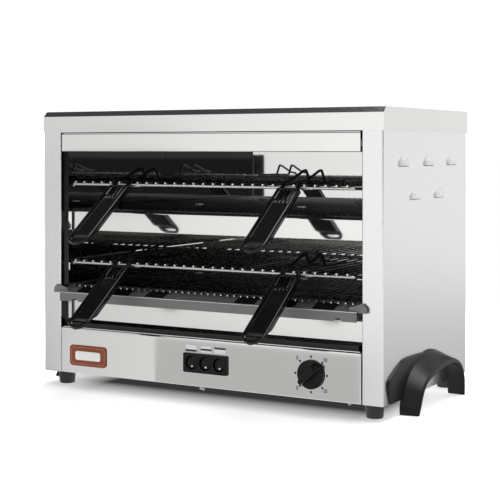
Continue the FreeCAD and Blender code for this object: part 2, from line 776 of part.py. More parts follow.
def make_tubes():
    """Three groups of quartz tubes, each tube held by a ceramic at both ends."""
    for name in ("top", "middle", "bottom"):
        tubes = []
        ceramics = []
        for number, (y, z) in enumerate(tube_places((name,))):
            tubes.append(rod(f"{name}_tube{number}", "X", "tube_radius", "tube_half_length * 2",
                             "-tube_half_length", y, z))
            for side, x in (("left", "-(tube_half_length - ceramic_overlap) - ceramic_length"),
                            ("right", "tube_half_length - ceramic_overlap")):
                shell = rod(f"{name}_ceramic_{side}{number}", "X", "ceramic_radius", "ceramic_length",
                            x, y, z)
                bore = rod(f"{name}_socket_{side}{number}", "X", "tube_radius + running_gap",
                           "tube_half_length * 2 + fit * 2", "-tube_half_length - fit", y, z)
                ceramics.append(carve(f"{name}_holder_{side}{number}", shell, [bore]))
        finish(group(f"{name}_tube_group", tubes), f"{name}_heating_tubes")
        finish(group(f"{name}_ceramic_group", ceramics), f"{name}_tube_ceramics")


def make_crumb_tray():
    """The pull-out crumb tray under the bottom tubes."""
    body = doc.addObject("PartDesign::Body", "tray_body")
    low = "cavity_floor + tray_gap"
    sketch = polygon(body, "YZ_Plane", "tray_section", [
        ("front + tray_setback", low), ("cavity_rear - tray_side_gap", low),
        ("cavity_rear - tray_side_gap", f"{low} + tray_height"),
        ("front + tray_setback", f"{low} + tray_height"),
    ])
    pad = body.newObject("PartDesign::Pad", "tray_pad")
    pad.Profile = sketch
    bind(pad, Length="(cavity_half - tray_side_gap) * 2")
    doc.recompute()
    open_top = max(range(len(pad.Shape.Faces)), key=lambda i: pad.Shape.Faces[i].CenterOfMass.z)
    hollow = body.newObject("PartDesign::Thickness", "tray_hollow")
    hollow.Base = (pad, [f"Face{open_top + 1}"])
    hollow.Reversed = True
    hollow.Join = "Intersection"
    bind(hollow, Value="sheet")
    finish(across(body, "cavity_half - tray_side_gap"), "crumb_tray")


# Rack handles

def bar_outline(body, role, name, width, length, start="0"):
    """A bar's outline: square at the start and round at the far end, along minus Y."""
    sketch = new_sketch(body, role, name)
    straight = f"{length} - ({width}) / 2"
    half = s.handle_width / 2
    turn = half - s.handle_length
    sketch.addGeometry(Part.LineSegment(V(-half, 0, 0), V(half, 0, 0)), False)
    sketch.addGeometry(Part.LineSegment(V(half, 0, 0), V(half, turn, 0)), False)
    circle = Part.Circle(V(0, turn, 0), V(0, 0, 1), half)
    sketch.addGeometry(Part.ArcOfCircle(circle, math.pi, 2 * math.pi), False)
    sketch.addGeometry(Part.LineSegment(V(-half, turn, 0), V(-half, 0, 0)), False)
    sketch.addConstraint(Sketcher.Constraint("Coincident", 0, 2, 1, 1))
    sketch.addConstraint(Sketcher.Constraint("Coincident", 1, 2, 2, 2))
    sketch.addConstraint(Sketcher.Constraint("Coincident", 2, 1, 3, 1))
    sketch.addConstraint(Sketcher.Constraint("Coincident", 3, 2, 0, 1))
    pin_point(sketch, 0, 1, f"-({width}) / 2", f"-({start})")
    pin_point(sketch, 0, 2, f"({width}) / 2", f"-({start})")
    pin_point(sketch, 1, 2, f"({width}) / 2", f"-({straight})")
    pin_point(sketch, 3, 1, f"-({width}) / 2", f"-({straight})")
    pin_point(sketch, 2, 3, None, f"-({straight})")
    return sketch


def make_handle(label, level, side):
    """A moulded handle: a rimmed, ribbed bar with a hanging ring at its round end."""
    body = doc.addObject("PartDesign::Body", label + "_body")
    outline = bar_outline(body, "XY_Plane", label + "_outline", "handle_width", "handle_length")
    blank = body.newObject("PartDesign::Pad", label + "_blank")
    blank.Profile = outline
    blank.Midplane = True
    bind(blank, Length="handle_thickness")
    doc.recompute()
    edges = rim_edges(blank)
    rounding = body.newObject("PartDesign::Fillet", label + "_rounding")
    rounding.Base = (blank, edges)
    bind(rounding, Radius="handle_round")
    inner_width = "handle_width - handle_rim * 2"
    floor_depth = "handle_thickness / 2 - handle_recess"
    field = bar_outline(body, "XY_Plane", label + "_field", inner_width,
                        "handle_length - handle_ring", "handle_rim")
    bind(field, AttachmentOffset__Base__z=floor_depth)
    recess = body.newObject("PartDesign::Pocket", label + "_recess")
    recess.Profile = field
    recess.Reversed = True
    bind(recess, Length="handle_thickness")
    ring = ring_outline(body, label + "_ring")
    hole = body.newObject("PartDesign::Pocket", label + "_hole")
    hole.Profile = ring
    hole.Midplane = True
    bind(hole, Length="handle_thickness * 2")
    body.Tip = hole
    ribs = []
    for number in (-1.5, -0.5, 0.5, 1.5):
        ribs.append(rib_bar(f"{label}_rib{int(number * 2 + 3)}", f"({inner_width}) / 5 * {number}",
                            floor_depth))
    sockets = [rod(f"{label}_socket{number}", "Y", "prong_radius", "prong_socket + fit",
                   f"{sign} * prong_gauge / 2", "-prong_socket", "-handle_recess / 2")
               for number, sign in enumerate((-1, 1))]
    moulding = carve(label + "_moulding", join(label + "_ribbed", [body] + ribs), sockets)
    moulding.Placement.Rotation = FreeCAD.Rotation(V(1, 0, 0), s.handle_slope)
    place(moulding, f"{side} * handle_offset", "rack_front - handle_forward", f"{level} - handle_drop")
    finish(moulding, label)


def rim_edges(feature):
    """The edges round a flat bar's top and bottom faces, but for those of its square end."""
    names = []
    for index, edge in enumerate(feature.Shape.Edges):
        box = edge.BoundBox
        if box.ZLength < 0.001 and box.YMin < -0.001:
            names.append(f"Edge{index + 1}")
    return names


def ring_outline(body, name):
    """The hanging hole: a slot across the bar with a round outer side."""
    sketch = new_sketch(body, "XY_Plane", name)
    radius = "handle_width / 2 - handle_rim - handle_bar / 6"
    half = s.handle_width / 2
    turn = half - s.handle_length
    sketch.addGeometry(Part.LineSegment(V(-half, turn, 0), V(half, turn, 0)), False)
    circle = Part.Circle(V(0, turn, 0), V(0, 0, 1), half)
    sketch.addGeometry(Part.ArcOfCircle(circle, math.pi, 2 * math.pi), False)
    sketch.addConstraint(Sketcher.Constraint("Coincident", 0, 1, 1, 1))
    sketch.addConstraint(Sketcher.Constraint("Coincident", 0, 2, 1, 2))
    pin_point(sketch, 0, 1, f"-({radius})", "-(handle_length - handle_width / 2)")
    pin_point(sketch, 0, 2, radius, "-(handle_length - handle_width / 2)")
    pin_point(sketch, 1, 3, None, "-(handle_length - handle_width / 2)")
    return sketch


def rib_bar(name, x, z):
    """One low rib that runs down the handle from its root."""
    return slab(name, (f"{x} - handle_rim / 4", f"{x} + handle_rim / 4"),
                ("-handle_rib_length - handle_rim", "-handle_rim / 2"),
                (f"{z} - handle_recess / 2", f"{z} + handle_recess * 0.8"))


def bent_wire(points, bend_radius, wire_radius):
    """A round wire along straight runs joined by tangent arcs."""
    edges = []
    start = points[0]
    for before, corner, after in zip(points, points[1:], points[2:]):
        inward = (before - corner).normalize()
        onward = (after - corner).normalize()
        half_angle = inward.getAngle(onward) / 2
        setback = bend_radius / math.tan(half_angle)
        arc_start = corner + inward * setback
        arc_end = corner + onward * setback
        middle_way = (inward + onward).normalize()
        depth = bend_radius / math.sin(half_angle) - bend_radius
        edges.append(Part.makeLine(start, arc_start))
        edges.append(Part.Arc(arc_start, corner + middle_way * depth, arc_end).toShape())
        start = arc_end
    edges.append(Part.makeLine(start, points[-1]))
    path = Part.Wire(edges)
    direction = (points[1] - points[0]).normalize()
    ring = Part.Wire([Part.makeCircle(wire_radius, points[0], direction)])
    return path.makePipeShell([ring], True, False)


def make_bracket(level):
    """Two bent prongs that hook over the rack's front rod, and the tab across them."""
    slope = math.radians(s.handle_slope)
    along = V(0, -math.cos(slope), -math.sin(slope))
    upright = V(0, -math.sin(slope), math.cos(slope))
    root = V(0, s.rack_front - s.handle_forward, level - s.handle_drop) - upright * (s.handle_recess / 2)
    lying = s.rack_rod_radius + s.rack_wire_radius * 2 - s.weld_sink + s.prong_radius
    route = [
        root + along * s.prong_socket,
        root - along * (s.prong_radius * 2),
        V(0, s.rack_front, level + s.prong_hump),
        V(0, s.rack_front + s.prong_hump, level + lying),
        V(0, s.rack_front + s.prong_reach, level + lying),
    ]
    prongs = []
    for sign in (-1, 1):
        shift = V(sign * s.prong_gauge / 2, 0, 0)
        prongs.append(bent_wire([point + shift for point in route], s.prong_radius * 1.6, s.prong_radius))
    tab = Part.makeBox(s.prong_gauge + s.prong_radius * 2, s.prong_radius * 4, s.clip_wall,
                       V(-s.prong_gauge / 2 - s.prong_radius, s.rack_front + s.prong_reach / 2,
                         level + lying + s.prong_radius - s.clip_wall / 2))
    return prongs[0].fuse([prongs[1], tab])


def make_clip(level):
    """The bright sleeve that grips the front rod beside the prongs."""
    outer = s.rack_rod_radius + s.clip_wall
    inner = s.rack_rod_radius
    length = s.prong_gauge / 2 - s.prong_radius * 2 + s.clip_right
    start = V(s.prong_gauge / 2 + s.prong_radius * 1.5, s.rack_front, level)
    sleeve = Part.makeCylinder(outer, length - s.clip_left, start, V(1, 0, 0))
    bore = Part.makeCylinder(inner, length, start - V(s.clip_wall, 0, 0), V(1, 0, 0))
    mouth = Part.makeBox(length * 2, outer * 2, outer + s.rack_wire_radius,
                         start + V(-s.clip_wall, -outer, 0))
    return sleeve.cut([bore, mouth])


def make_rack_fittings(level_name):
    """The two handles of one rack, each with its bracket and rod clip."""
    level_alias = f"{level_name}_rack_level"
    level = getattr(s, level_alias)
    for side_name, side in (("left", -1), ("right", 1)):
        make_handle(f"{level_name}_handle_{side_name}", level_alias, side)
        fitting = doc.addObject("Part::Feature", f"{level_name}_bracket_{side_name}_shape")
        fitting.Shape = Part.makeCompound([make_bracket(level), make_clip(level)])
        place(fitting, f"{side} * handle_offset")
        finish(fitting, f"{level_name}_bracket_{side_name}")


# Controls

def make_knob():
    """The timer knob: a round skirt with a wedge grip that ends in a pointer."""
    body = doc.addObject("PartDesign::Body", "knob_body")
    disc = new_sketch(body, "XY_Plane", "knob_disc")
    disc.addGeometry(Part.Circle(V(0, 0, 0), V(0, 0, 1), 20), False)
    disc.addConstraint(Sketcher.Constraint("Coincident", 0, 3, -1, 1))
    index = disc.addConstraint(Sketcher.Constraint("Radius", 0, 20.0))
    bind(disc, **{f"Constraints[{index}]": "knob_radius"})
    skirt = body.newObject("PartDesign::Pad", "knob_skirt_pad")
    skirt.Profile = disc
    bind(skirt, Length="knob_skirt")
    half = "knob_grip_width / 2"
    grip_sketch = polygon(body, "XY_Plane", "knob_grip_outline", [
        (f"-({half})", "-knob_radius * 0.86"), (half, "-knob_radius * 0.86"),
        (f"{half} * 0.75", "knob_radius * 0.8"), ("0", "knob_radius * 0.98"),
        (f"-({half}) * 0.75", "knob_radius * 0.8"),
    ])
    grip = body.newObject("PartDesign::Pad", "knob_grip_pad")
    grip.Profile = grip_sketch
    grip.TaperAngle = -6
    bind(grip, Length="knob_height")
    doc.recompute()
    top_edges = [f"Edge{i + 1}" for i, edge in enumerate(grip.Shape.Edges)
                 if edge.BoundBox.ZMin > s.knob_height - 0.001]
    rounding = body.newObject("PartDesign::Fillet", "knob_rounding")
    rounding.Base = (grip, top_edges)
    bind(rounding, Radius="handle_round")
    body.Tip = rounding
    bore = rod("knob_bore", "Z", "shaft_radius", "knob_height / 2", "0", "0", "-knob_gap")
    knob = carve("knob_bored", body, [bore])
    knob.Placement.Rotation = (FreeCAD.Rotation(V(1, 0, 0), 90)
                               .multiply(FreeCAD.Rotation(V(0, 0, 1), 135)))
    place(knob, "knob_offset", "face - knob_gap", "control_level")
    finish(knob, "timer_knob")
    finish(rod("shaft", "Y", "shaft_radius", "knob_height / 2 + timer_depth * 0.7", "knob_offset",
               "face - knob_height / 2", "control_level"), "timer_shaft")


def make_timer():
    """The clockwork timer behind the panel, with the bush that carries the knob's shaft."""
    case = slab("timer_case", ("knob_offset - timer_size / 2", "knob_offset + timer_size / 2"),
                ("face + sheet", "face + sheet + timer_depth"),
                ("control_level - timer_size / 2", "control_level + timer_size / 2"))
    bush = rod("timer_bush", "Y", "bush_radius", "timer_depth / 2", "knob_offset", "face", "control_level")
    bore = rod("timer_bore", "Y", "shaft_radius + running_gap", "timer_depth", "knob_offset",
               "face - sheet", "control_level")
    finish(carve("timer_bored", join("timer_blank", [case, bush]), [bore]), "timer_body")


def make_switches():
    """Three round rockers in one bezel, over the block that holds their contacts."""
    middles = [f"switch_middle + rocker_pitch * {step}" for step in (-1, 0, 1)]
    rim = folded("bezel_rim", "XZ_Plane", [
        ("switch_middle - bezel_width / 2", "control_level - bezel_height / 2"),
        ("switch_middle + bezel_width / 2", "control_level - bezel_height / 2"),
        ("switch_middle + bezel_width / 2", "control_level + bezel_height / 2"),
        ("switch_middle - bezel_width / 2", "control_level + bezel_height / 2"),
    ], "bezel_proud", [((0, 1, 2, 3), "bend")])
    place(rim, y="face")
    core = slab("bezel_core", ("switch_middle - bezel_width / 2 + bezel_lip",
                               "switch_middle + bezel_width / 2 - bezel_lip"),
                ("face - bezel_proud / 2", "face + bezel_depth"),
                ("control_level - bezel_height / 2 + bezel_lip",
                 "control_level + bezel_height / 2 - bezel_lip"))
    wells = [rod(f"rocker_well{number}", "Y", "rocker_radius + rocker_gap", "bezel_depth * 2", x,
                 "face - bezel_proud * 2", "control_level") for number, x in enumerate(middles)]
    wells.append(rod("rocker_pin_bore", "X", "rocker_pin_radius + running_gap",
                     "rocker_pitch * 3 - sheet * 2", "switch_middle - rocker_pitch * 1.5 + sheet",
                     "face + rocker_thickness / 2", "control_level"))
    finish(carve("bezel_cut", join("bezel_blank", [rim, core]), wells), "switch_bezel")
    block = slab("block", ("switch_middle - bezel_width / 2 + bezel_lip",
                           "switch_middle + bezel_width / 2 - bezel_lip"),
                 ("face + bezel_depth", "face + bezel_depth + switch_block_depth"),
                 ("control_level - bezel_height / 2 + bezel_lip",
                  "control_level + bezel_height / 2 - bezel_lip"))
    finish(block, "switch_block")
    for name, x in zip(("left", "middle", "right"), middles):
        cap = rod(f"rocker_cap_{name}", "Z", "rocker_radius", "rocker_thickness", "0", "0",
                  "-rocker_thickness / 2")
        rounded = doc.addObject("Part::Fillet", f"rocker_round_{name}")
        rounded.Base = cap
        doc.recompute()
        rounded.Edges = [(index + 1, s.bend, s.bend) for index, edge in enumerate(cap.Shape.Edges)
                         if edge.BoundBox.ZMin > s.rocker_thickness / 2 - 0.001]
        pin = rod(f"rocker_pin_{name}", "X", "rocker_pin_radius", "rocker_pitch - sheet * 3",
                  "-(rocker_pitch - sheet * 3) / 2", "0", "0")
        rocker = join(f"rocker_whole_{name}", [rounded, pin])
        rocker.Placement.Rotation = FreeCAD.Rotation(V(1, 0, 0), 90 - s.rocker_tilt)
        place(rocker, x, "face + rocker_thickness / 2", "control_level")
        finish(rocker, f"rocker_{name}")


def make_terminal_block():
    """The mains terminal block on the base pan."""
    block = slab("terminal_base", ("-gland_offset - terminal_half", "-gland_offset + terminal_half"),
                 ("panel_back - foot_setback * 2", "panel_back - foot_setback * 2 + terminal_half"),
                 ("foot_height + sheet", "foot_height + sheet + terminal_half * 0.7"))
    holes = []
    for number in range(5):
        holes.append(rod(f"terminal_hole{number}", "Z", "screw_radius", "terminal_half / 2",
                         f"-gland_offset + terminal_half / 2.6 * {number - 2}",
                         "panel_back - foot_setback * 2 + terminal_half / 2",
                         "foot_height + sheet + terminal_half * 0.45"))
    finish(carve("terminal_cut", block, holes), "terminal_block")


def make_gland():
    """The cable gland in the rear panel: flange, barrel and the nut inside."""
    y_out = "panel_back - sheet"
    pieces = [
        rod("gland_barrel", "Y", "gland_radius - sheet - fit", "gland_out + lid_rear_overhang + sheet * 6",
            "-gland_offset", "panel_back - sheet * 6", "gland_level"),
        rod("gland_collar", "Y", "gland_radius + gland_flange / 2", "gland_flange", "-gland_offset", y_out,
            "gland_level"),
    ]
    nut = doc.addObject("Part::Prism", "gland_nut")
    nut.Polygon = 6
    nut.Placement.Rotation = AXIS_TURN["Y"]
    bind(nut, Circumradius="gland_radius + gland_flange / 2", Height="gland_flange - sheet")
    place(nut, "-gland_offset", "panel_back - sheet * 2 - (gland_flange - sheet)", "gland_level")
    pieces.append(nut)
    bore = rod("gland_bore_hole", "Y", "gland_bore", "gland_out * 3", "-gland_offset",
               "panel_back - gland_out", "gland_level")
    finish(carve("gland_bored", join("gland_blank", pieces), [bore]), "cable_gland")


# Feet, arches and screws

def make_feet():
    """Four rubber feet, tapered, each with a recess for its screw."""
    names = ("front_left", "rear_left", "front_right", "rear_right")
    for name, (x, y) in zip(names, foot_places()):
        cone = doc.addObject("Part::Cone", f"foot_cone_{name}")
        bind(cone, Radius1="foot_bottom_radius", Radius2="foot_top_radius", Height="foot_height")
        rounded = doc.addObject("Part::Fillet", f"foot_round_{name}")
        rounded.Base = cone
        doc.recompute()
        rounded.Edges = [(index + 1, s.foot_recess * 0.7, s.foot_recess * 0.7)
                         for index, edge in enumerate(cone.Shape.Edges) if edge.BoundBox.ZMax < 0.001]
        recess = rod(f"foot_recess_{name}", "Z", "foot_recess_radius", "foot_recess + fit", "0", "0", "-fit")
        hole = rod(f"foot_hole_{name}", "Z", "screw_radius + fit / 2", "foot_height * 2", "0", "0", "-fit")
        foot = carve(f"foot_cut_{name}", rounded, [recess, hole])
        finish(place(foot, x, y), f"foot_{name}")
    screws = []
    for number, (x, y) in enumerate(foot_places()):
        head = rod(f"foot_screw_head{number}", "Z", "screw_head_radius", "screw_head", x, y,
                   "foot_recess - screw_head")
        shank = rod(f"foot_screw_shank{number}", "Z", "screw_radius", "foot_height", x, y,
                    "foot_recess - fit")
        screws.append(join(f"foot_screw{number}", [head, shank]))
    finish(group("foot_screw_group", screws), "foot_screws")


def inset(points, wall):
    """Move the points of an open outline inwards by a wall, along its own normals."""
    moved = []
    last = len(points) - 1
    for index, point in enumerate(points):
        before = points[max(index - 1, 0)]
        after = points[min(index + 1, last)]
        along = (after - before).normalize()
        moved.append(point + V(0, along.z, -along.y) * wall)
    moved[0] = V(points[0].x, points[0].y + wall, points[0].z)
    moved[-1] = V(points[-1].x, points[-1].y - wall, points[-1].z)
    return moved


def arch_outline(x, shares, front, length, height, base):
    """Points of an arch's outline from shares of its length and height, front foot first."""
    return [V(x, front + length * along, base + (height - base) * up) for along, up in shares]


def arch_wire(outer, inner):
    """A closed arch section: the outer curve, and the inner curve back again."""
    outer_curve = Part.BSplineCurve()
    outer_curve.interpolate(outer)
    inner_curve = Part.BSplineCurve()
    inner_curve.interpolate(list(reversed(inner)))
    return Part.Wire([
        outer_curve.toShape(), Part.makeLine(outer[-1], inner[-1]),
        inner_curve.toShape(), Part.makeLine(inner[0], outer[0]),
    ])


def make_arches():
    """A moulded arch low on each side: a flange on the panel and a band that leans out."""
    root_shares = [(0, 0), (0.0, 0.17), (0.05, 0.45), (0.15, 0.72), (0.30, 0.90), (0.47, 1.0),
                   (0.62, 0.99), (0.78, 0.88), (0.92, 0.60), (0.985, 0.30), (1.0, 0)]
    rim_shares = [(0.02, 0), (0.06, 0.18), (0.12, 0.42), (0.20, 0.58), (0.32, 0.67), (0.47, 0.73),
                  (0.62, 0.775), (0.79, 0.76), (0.92, 0.62), (0.985, 0.36), (0.99, 0)]
    flange_shares = [(-0.19, 0.0), (-0.23, 0.45), (-0.18, 0.66), (0.01, 0.93), (0.13, 1.0), (0.40, 0.985),
                     (0.60, 0.95), (0.78, 0.84), (0.94, 0.62), (1.01, 0.40), (1.01, 0.0)]
    start = s.front + s.arch_setback
    root = arch_outline(s.shell_half, root_shares, start, s.arch_length, s.arch_height, s.arch_lift)
    rim = arch_outline(s.shell_half + s.arch_out, rim_shares, start, s.arch_length, s.arch_height,
                       s.arch_lift)
    band = Part.makeLoft([arch_wire(root, inset(root, s.arch_wall)),
                          arch_wire(rim, inset(rim, s.arch_wall))], True, True)
    base = s.foot_height + s.sheet
    outer = arch_outline(s.shell_half, flange_shares, start, s.arch_length, s.arch_height, base)
    tunnel = [point for point in inset(root, s.arch_wall / 2) if point.z > base]
    tunnel = [V(0, tunnel[0].y, base)] + tunnel + [V(0, tunnel[-1].y, base)]
    inner = [V(s.shell_half, point.y, point.z) for point in tunnel]
    flange = Part.Face(arch_wire(outer, inner)).extrude(V(s.arch_flange, 0, 0))
    shape = band.fuse(flange)
    right = doc.addObject("Part::Feature", "arch_shape")
    right.Shape = shape
    place(right)
    finish(right, "side_arch_right")
    finish(mirror("arch_twin", right), "side_arch_left")


def make_case_screws():
    """Screws for the rear panel and for the lid's rear skirt."""
    screws = []
    for seat, depth, places in (("panel_back", "sheet * 5", back_screw_places()),
                                ("back", "lid_rear_overhang + sheet * 4", lid_screw_places())):
        for x, z in places:
            name = f"case_screw{len(screws)}"
            head = rod(name + "_head", "Y", "screw_head_radius", "screw_head", x, seat, z)
            shank = rod(name + "_shank", "Y", "screw_radius", f"{depth} + fit", x, f"{seat} - ({depth})", z)
            screws.append(join(name, [head, shank]))
    finish(group("case_screw_group", screws), "case_screws")


make_lid()
make_side_panels()
make_fascia()
make_strip("middle_strip", "middle_strip_base", "middle_strip_height")
make_strip("bottom_strip", "bottom_strip_base", "bottom_strip_height")
make_control_panel()
make_front_plate()
make_base_and_back()
make_cavity()
make_ledge("upper_rack_runners", "upper_rack_level - rack_rod_radius - seat_gap", "cavity_front + sheet * 2",
           "rack_rear")
make_ledge("lower_rack_runners", "lower_rack_level - rack_rod_radius - seat_gap", "cavity_front + sheet * 2",
           "rack_rear")
make_ledge("bottom_guard_ledges", "frame_edge_level", "strip_face + return_depth", "cavity_rear")
make_guards()
make_bottom_guard()
make_tubes()
make_crumb_tray()
for rack_name in ("upper", "lower"):
    make_rack(rack_name, f"{rack_name}_rack_level")
    make_rack_fittings(rack_name)
make_knob()
make_timer()
make_switches()
make_terminal_block()
make_gland()
make_feet()
make_arches()
make_case_screws()
doc.recompute()

# Every object has to be sound before anything is written.
failed = [thing.Name for thing in doc.Objects if {"Invalid", "Error"} & set(thing.State)]
failed += [thing.Label for thing in finished if thing.Shape.isNull() or not thing.Shape.isValid()]
if failed:
    raise RuntimeError("These have failed: " + ", ".join(failed))

os.makedirs("parts", exist_ok=True)
for thing in finished:
    thing.Shape.exportStep(f"parts/{thing.Label}.step")
whole = Part.makeCompound([thing.Shape for thing in finished]).BoundBox
print(f"{len(finished)} pieces, {whole.XLength:.2f} wide, {whole.YLength:.2f} deep, {whole.ZLength:.2f} high")
print(f"X {whole.XMin:.2f} to {whole.XMax:.2f}, Y {whole.YMin:.2f} to {whole.YMax:.2f}, "
      f"Z {whole.ZMin:.2f} to {whole.ZMax:.2f}")
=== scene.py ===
# %% [markdown]
# # A two-level bar toaster in polished sheet steel
#
# A bar toaster is an open steel box. Bread lies on two pull-out wire racks, quartz
# tubes heat it from above, between and below them, and a mirror-polished cavity
# throws the heat back. Its solids come from a CAD source and fix every place and
# size. This lesson gives them their looks. Sheet parts keep their solids and get a
# finish. Whatever is bent, moulded, woven or rounded is made again here with more
# detail, and stands for the solid of the same name.

import json
import math

import bmesh
import bpy
import numpy as np
from mathutils import Matrix, Vector


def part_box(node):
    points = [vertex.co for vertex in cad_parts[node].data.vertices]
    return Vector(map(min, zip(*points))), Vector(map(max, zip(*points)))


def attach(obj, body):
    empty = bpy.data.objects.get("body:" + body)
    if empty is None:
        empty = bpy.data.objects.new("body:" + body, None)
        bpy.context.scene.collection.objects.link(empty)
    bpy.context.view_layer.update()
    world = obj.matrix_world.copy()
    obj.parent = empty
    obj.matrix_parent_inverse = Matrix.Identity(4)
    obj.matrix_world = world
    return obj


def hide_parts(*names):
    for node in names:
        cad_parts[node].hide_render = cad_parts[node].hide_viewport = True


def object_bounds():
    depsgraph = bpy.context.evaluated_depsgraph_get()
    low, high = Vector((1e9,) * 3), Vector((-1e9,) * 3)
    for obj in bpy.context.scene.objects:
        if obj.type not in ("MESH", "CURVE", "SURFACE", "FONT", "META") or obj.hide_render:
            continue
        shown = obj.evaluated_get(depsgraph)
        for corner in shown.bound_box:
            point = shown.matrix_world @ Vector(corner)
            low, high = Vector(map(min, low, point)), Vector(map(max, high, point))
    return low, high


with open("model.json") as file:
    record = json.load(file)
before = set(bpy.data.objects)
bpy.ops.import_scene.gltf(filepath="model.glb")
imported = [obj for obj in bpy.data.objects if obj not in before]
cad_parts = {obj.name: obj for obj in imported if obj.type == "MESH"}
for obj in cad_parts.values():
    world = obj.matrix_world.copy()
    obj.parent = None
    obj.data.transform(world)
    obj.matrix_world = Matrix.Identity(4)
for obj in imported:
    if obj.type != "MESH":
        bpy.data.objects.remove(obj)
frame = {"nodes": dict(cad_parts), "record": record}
solid_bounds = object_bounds()

# %% [markdown]
# ## Sizes
#
# A maker marks out the work before cutting. Every size could be typed in again, but
# a typed number drifts from its solid when the solid changes. So places are read
# from the solids' own boxes wherever they can be. The rest are millimetres times
# MM, because the scene is in metres.

# %% Sizes
MM = 0.001


def low(node, axis):
    """The lowest place of a node along X, Y or Z (0, 1 or 2)."""
    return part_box(node)[0][axis]


def high(node, axis):
    """The highest place of a node along X, Y or Z."""
    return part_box(node)[1][axis]


LID_OVERHANG = 1.2 * MM
FRONT = low("lid", 1)
FACE = FRONT + LID_OVERHANG
SIDE_FACE = high("lid", 0) - LID_OVERHANG
whole = [end - start for start, end in zip(*solid_bounds)]
print("the whole is", " by ".join(f"{length / MM:.1f}" for length in whole), "mm")
print(f"posts and panel stand at Y = {FACE / MM:.1f} mm, the side sheets at X = {SIDE_FACE / MM:.1f} mm")

# %% [markdown]
# ## Sums on shader sockets
#
# A finish changes over a surface by sums on noise and place, and each sum is a Math
# node. Wired by hand, ten nodes hide a simple formula. This small class wraps a
# socket, so that a formula can be written as it is spoken: every operator adds one
# Math node and returns its output. The reflected forms let a plain number stand
# first, as in 1 - mask.

# %% Shader sums


class Number:
    """A number inside a material, which ordinary operators can be used on."""

    def __init__(self, tree, socket):
        self.tree = tree
        self.socket = socket

    def join(self, operation, *values, clamp=False):
        """Add one Math node with these inputs."""
        node = self.tree.nodes.new("ShaderNodeMath")
        node.operation = operation
        node.use_clamp = clamp
        for slot, value in zip(node.inputs, values):
            if isinstance(value, Number):
                self.tree.links.new(value.socket, slot)
            else:
                slot.default_value = value
        return Number(self.tree, node.outputs[0])

    def __add__(self, other):
        return self.join("ADD", self, other)

    def __radd__(self, other):
        return self.join("ADD", other, self)

    def __sub__(self, other):
        return self.join("SUBTRACT", self, other)

    def __rsub__(self, other):
        return self.join("SUBTRACT", other, self)

    def __mul__(self, other):
        return self.join("MULTIPLY", self, other)

    def __rmul__(self, other):
        return self.join("MULTIPLY", other, self)

    def __truediv__(self, other):
        return self.join("DIVIDE", self, other)

    def __rtruediv__(self, other):
        return self.join("DIVIDE", other, self)

    def above(self, edge, width):
        """0 below an edge and 1 above it, with a soft step of some width."""
        return ((self - (edge - width / 2)) / width).clamped()

    def clamped(self):
        """Hold the number between 0 and 1."""
        return self.join("ADD", self, 0.0, clamp=True)

    def between(self, start, end, width):
        """1 between two places and 0 outside them."""
        return self.above(start, width) * (1.0 - self.above(end, width))


trial = bpy.data.node_groups.new("trial", "ShaderNodeTree")
wave = Number(trial, trial.nodes.new("ShaderNodeValue").outputs[0])
wave.above(0.5, 0.1)
print("a soft edge takes", len(trial.nodes) - 1, "Math nodes")
bpy.data.node_groups.remove(trial)

# %% [markdown]
# ## One way to add any node
#
# Materials, geometry trees and the room are all node trees. Each could have its own
# code for adding a node. One method does it for all three: it sets the node's
# properties first, because they can change its sockets, and then fills each input
# with a value or a link.

# %% Node trees


class Nodes:
    """A node tree that is built up one node at a time."""

    def __init__(self, tree):
        self.tree = tree
        tree.nodes.clear()

    def node(self, kind, links=None, **settings):
        """Add any node, set its properties, and link or fill its inputs."""
        node = self.tree.nodes.new(kind)
        for key, value in settings.items():
            setattr(node, key, value)
        for key, value in (links or {}).items():
            if isinstance(value, Number):
                value = value.socket
            if isinstance(value, bpy.types.NodeSocket):
                self.tree.links.new(value, node.inputs[key])
            else:
                node.inputs[key].default_value = value
        return node


class Finish(Nodes):
    """A material that is built up on the standard surface shader."""

    def __init__(self, name, colour=(0.5, 0.5, 0.5), **settings):
        self.material = bpy.data.materials.new(name)
        self.material.use_nodes = True
        super().__init__(self.material.node_tree)
        self.shader = self.node("ShaderNodeBsdfPrincipled", {"Base Color": (*colour, 1.0)})
        for key, value in settings.items():
            self.shader.inputs[key.replace("_", " ")].default_value = value
        self.output = self.node("ShaderNodeOutputMaterial", {"Surface": self.shader.outputs["BSDF"]})
        self.place = self.node("ShaderNodeTexCoord").outputs["Object"]

    def noise(self, scale, stretch=(1, 1, 1), detail=3.0, roughness=0.55):
        """Smooth noise from 0 to 1, by the piece's own coordinates."""
        mapping = self.node("ShaderNodeMapping", {"Vector": self.place, "Scale": stretch})
        noise = self.node("ShaderNodeTexNoise", {
            "Vector": mapping.outputs[0], "Scale": scale, "Detail": detail, "Roughness": roughness})
        return Number(self.tree, noise.outputs["Fac"])

    def axis(self, letter):
        """One of the piece's coordinates, in metres."""
        split = self.node("ShaderNodeSeparateXYZ", {"Vector": self.place})
        return Number(self.tree, split.outputs[letter])

    def mix(self, amount, first, second):
        """A colour between two colours."""
        ends = [(*value, 1.0) if isinstance(value, tuple) else value for value in (first, second)]
        node = self.node("ShaderNodeMix", {"Factor": amount, 6: ends[0], 7: ends[1]}, data_type="RGBA")
        return node.outputs[2]

    def glow(self, colour, strength=1.0):
        """The output of a surface that shines by itself."""
        return self.node("ShaderNodeEmission", {"Color": colour, "Strength": strength}).outputs[0]

    def feed(self, name, value):
        """Link a number or a colour to one of the shader's inputs."""
        socket = value.socket if isinstance(value, Number) else value
        self.tree.links.new(socket, self.shader.inputs[name])

    def bump(self, height, distance, strength=1.0):
        """Raise the surface by a height, in metres times distance."""
        node = self.node("ShaderNodeBump", {
            "Height": height, "Distance": distance, "Strength": strength})
        self.tree.links.new(node.outputs["Normal"], self.shader.inputs["Normal"])


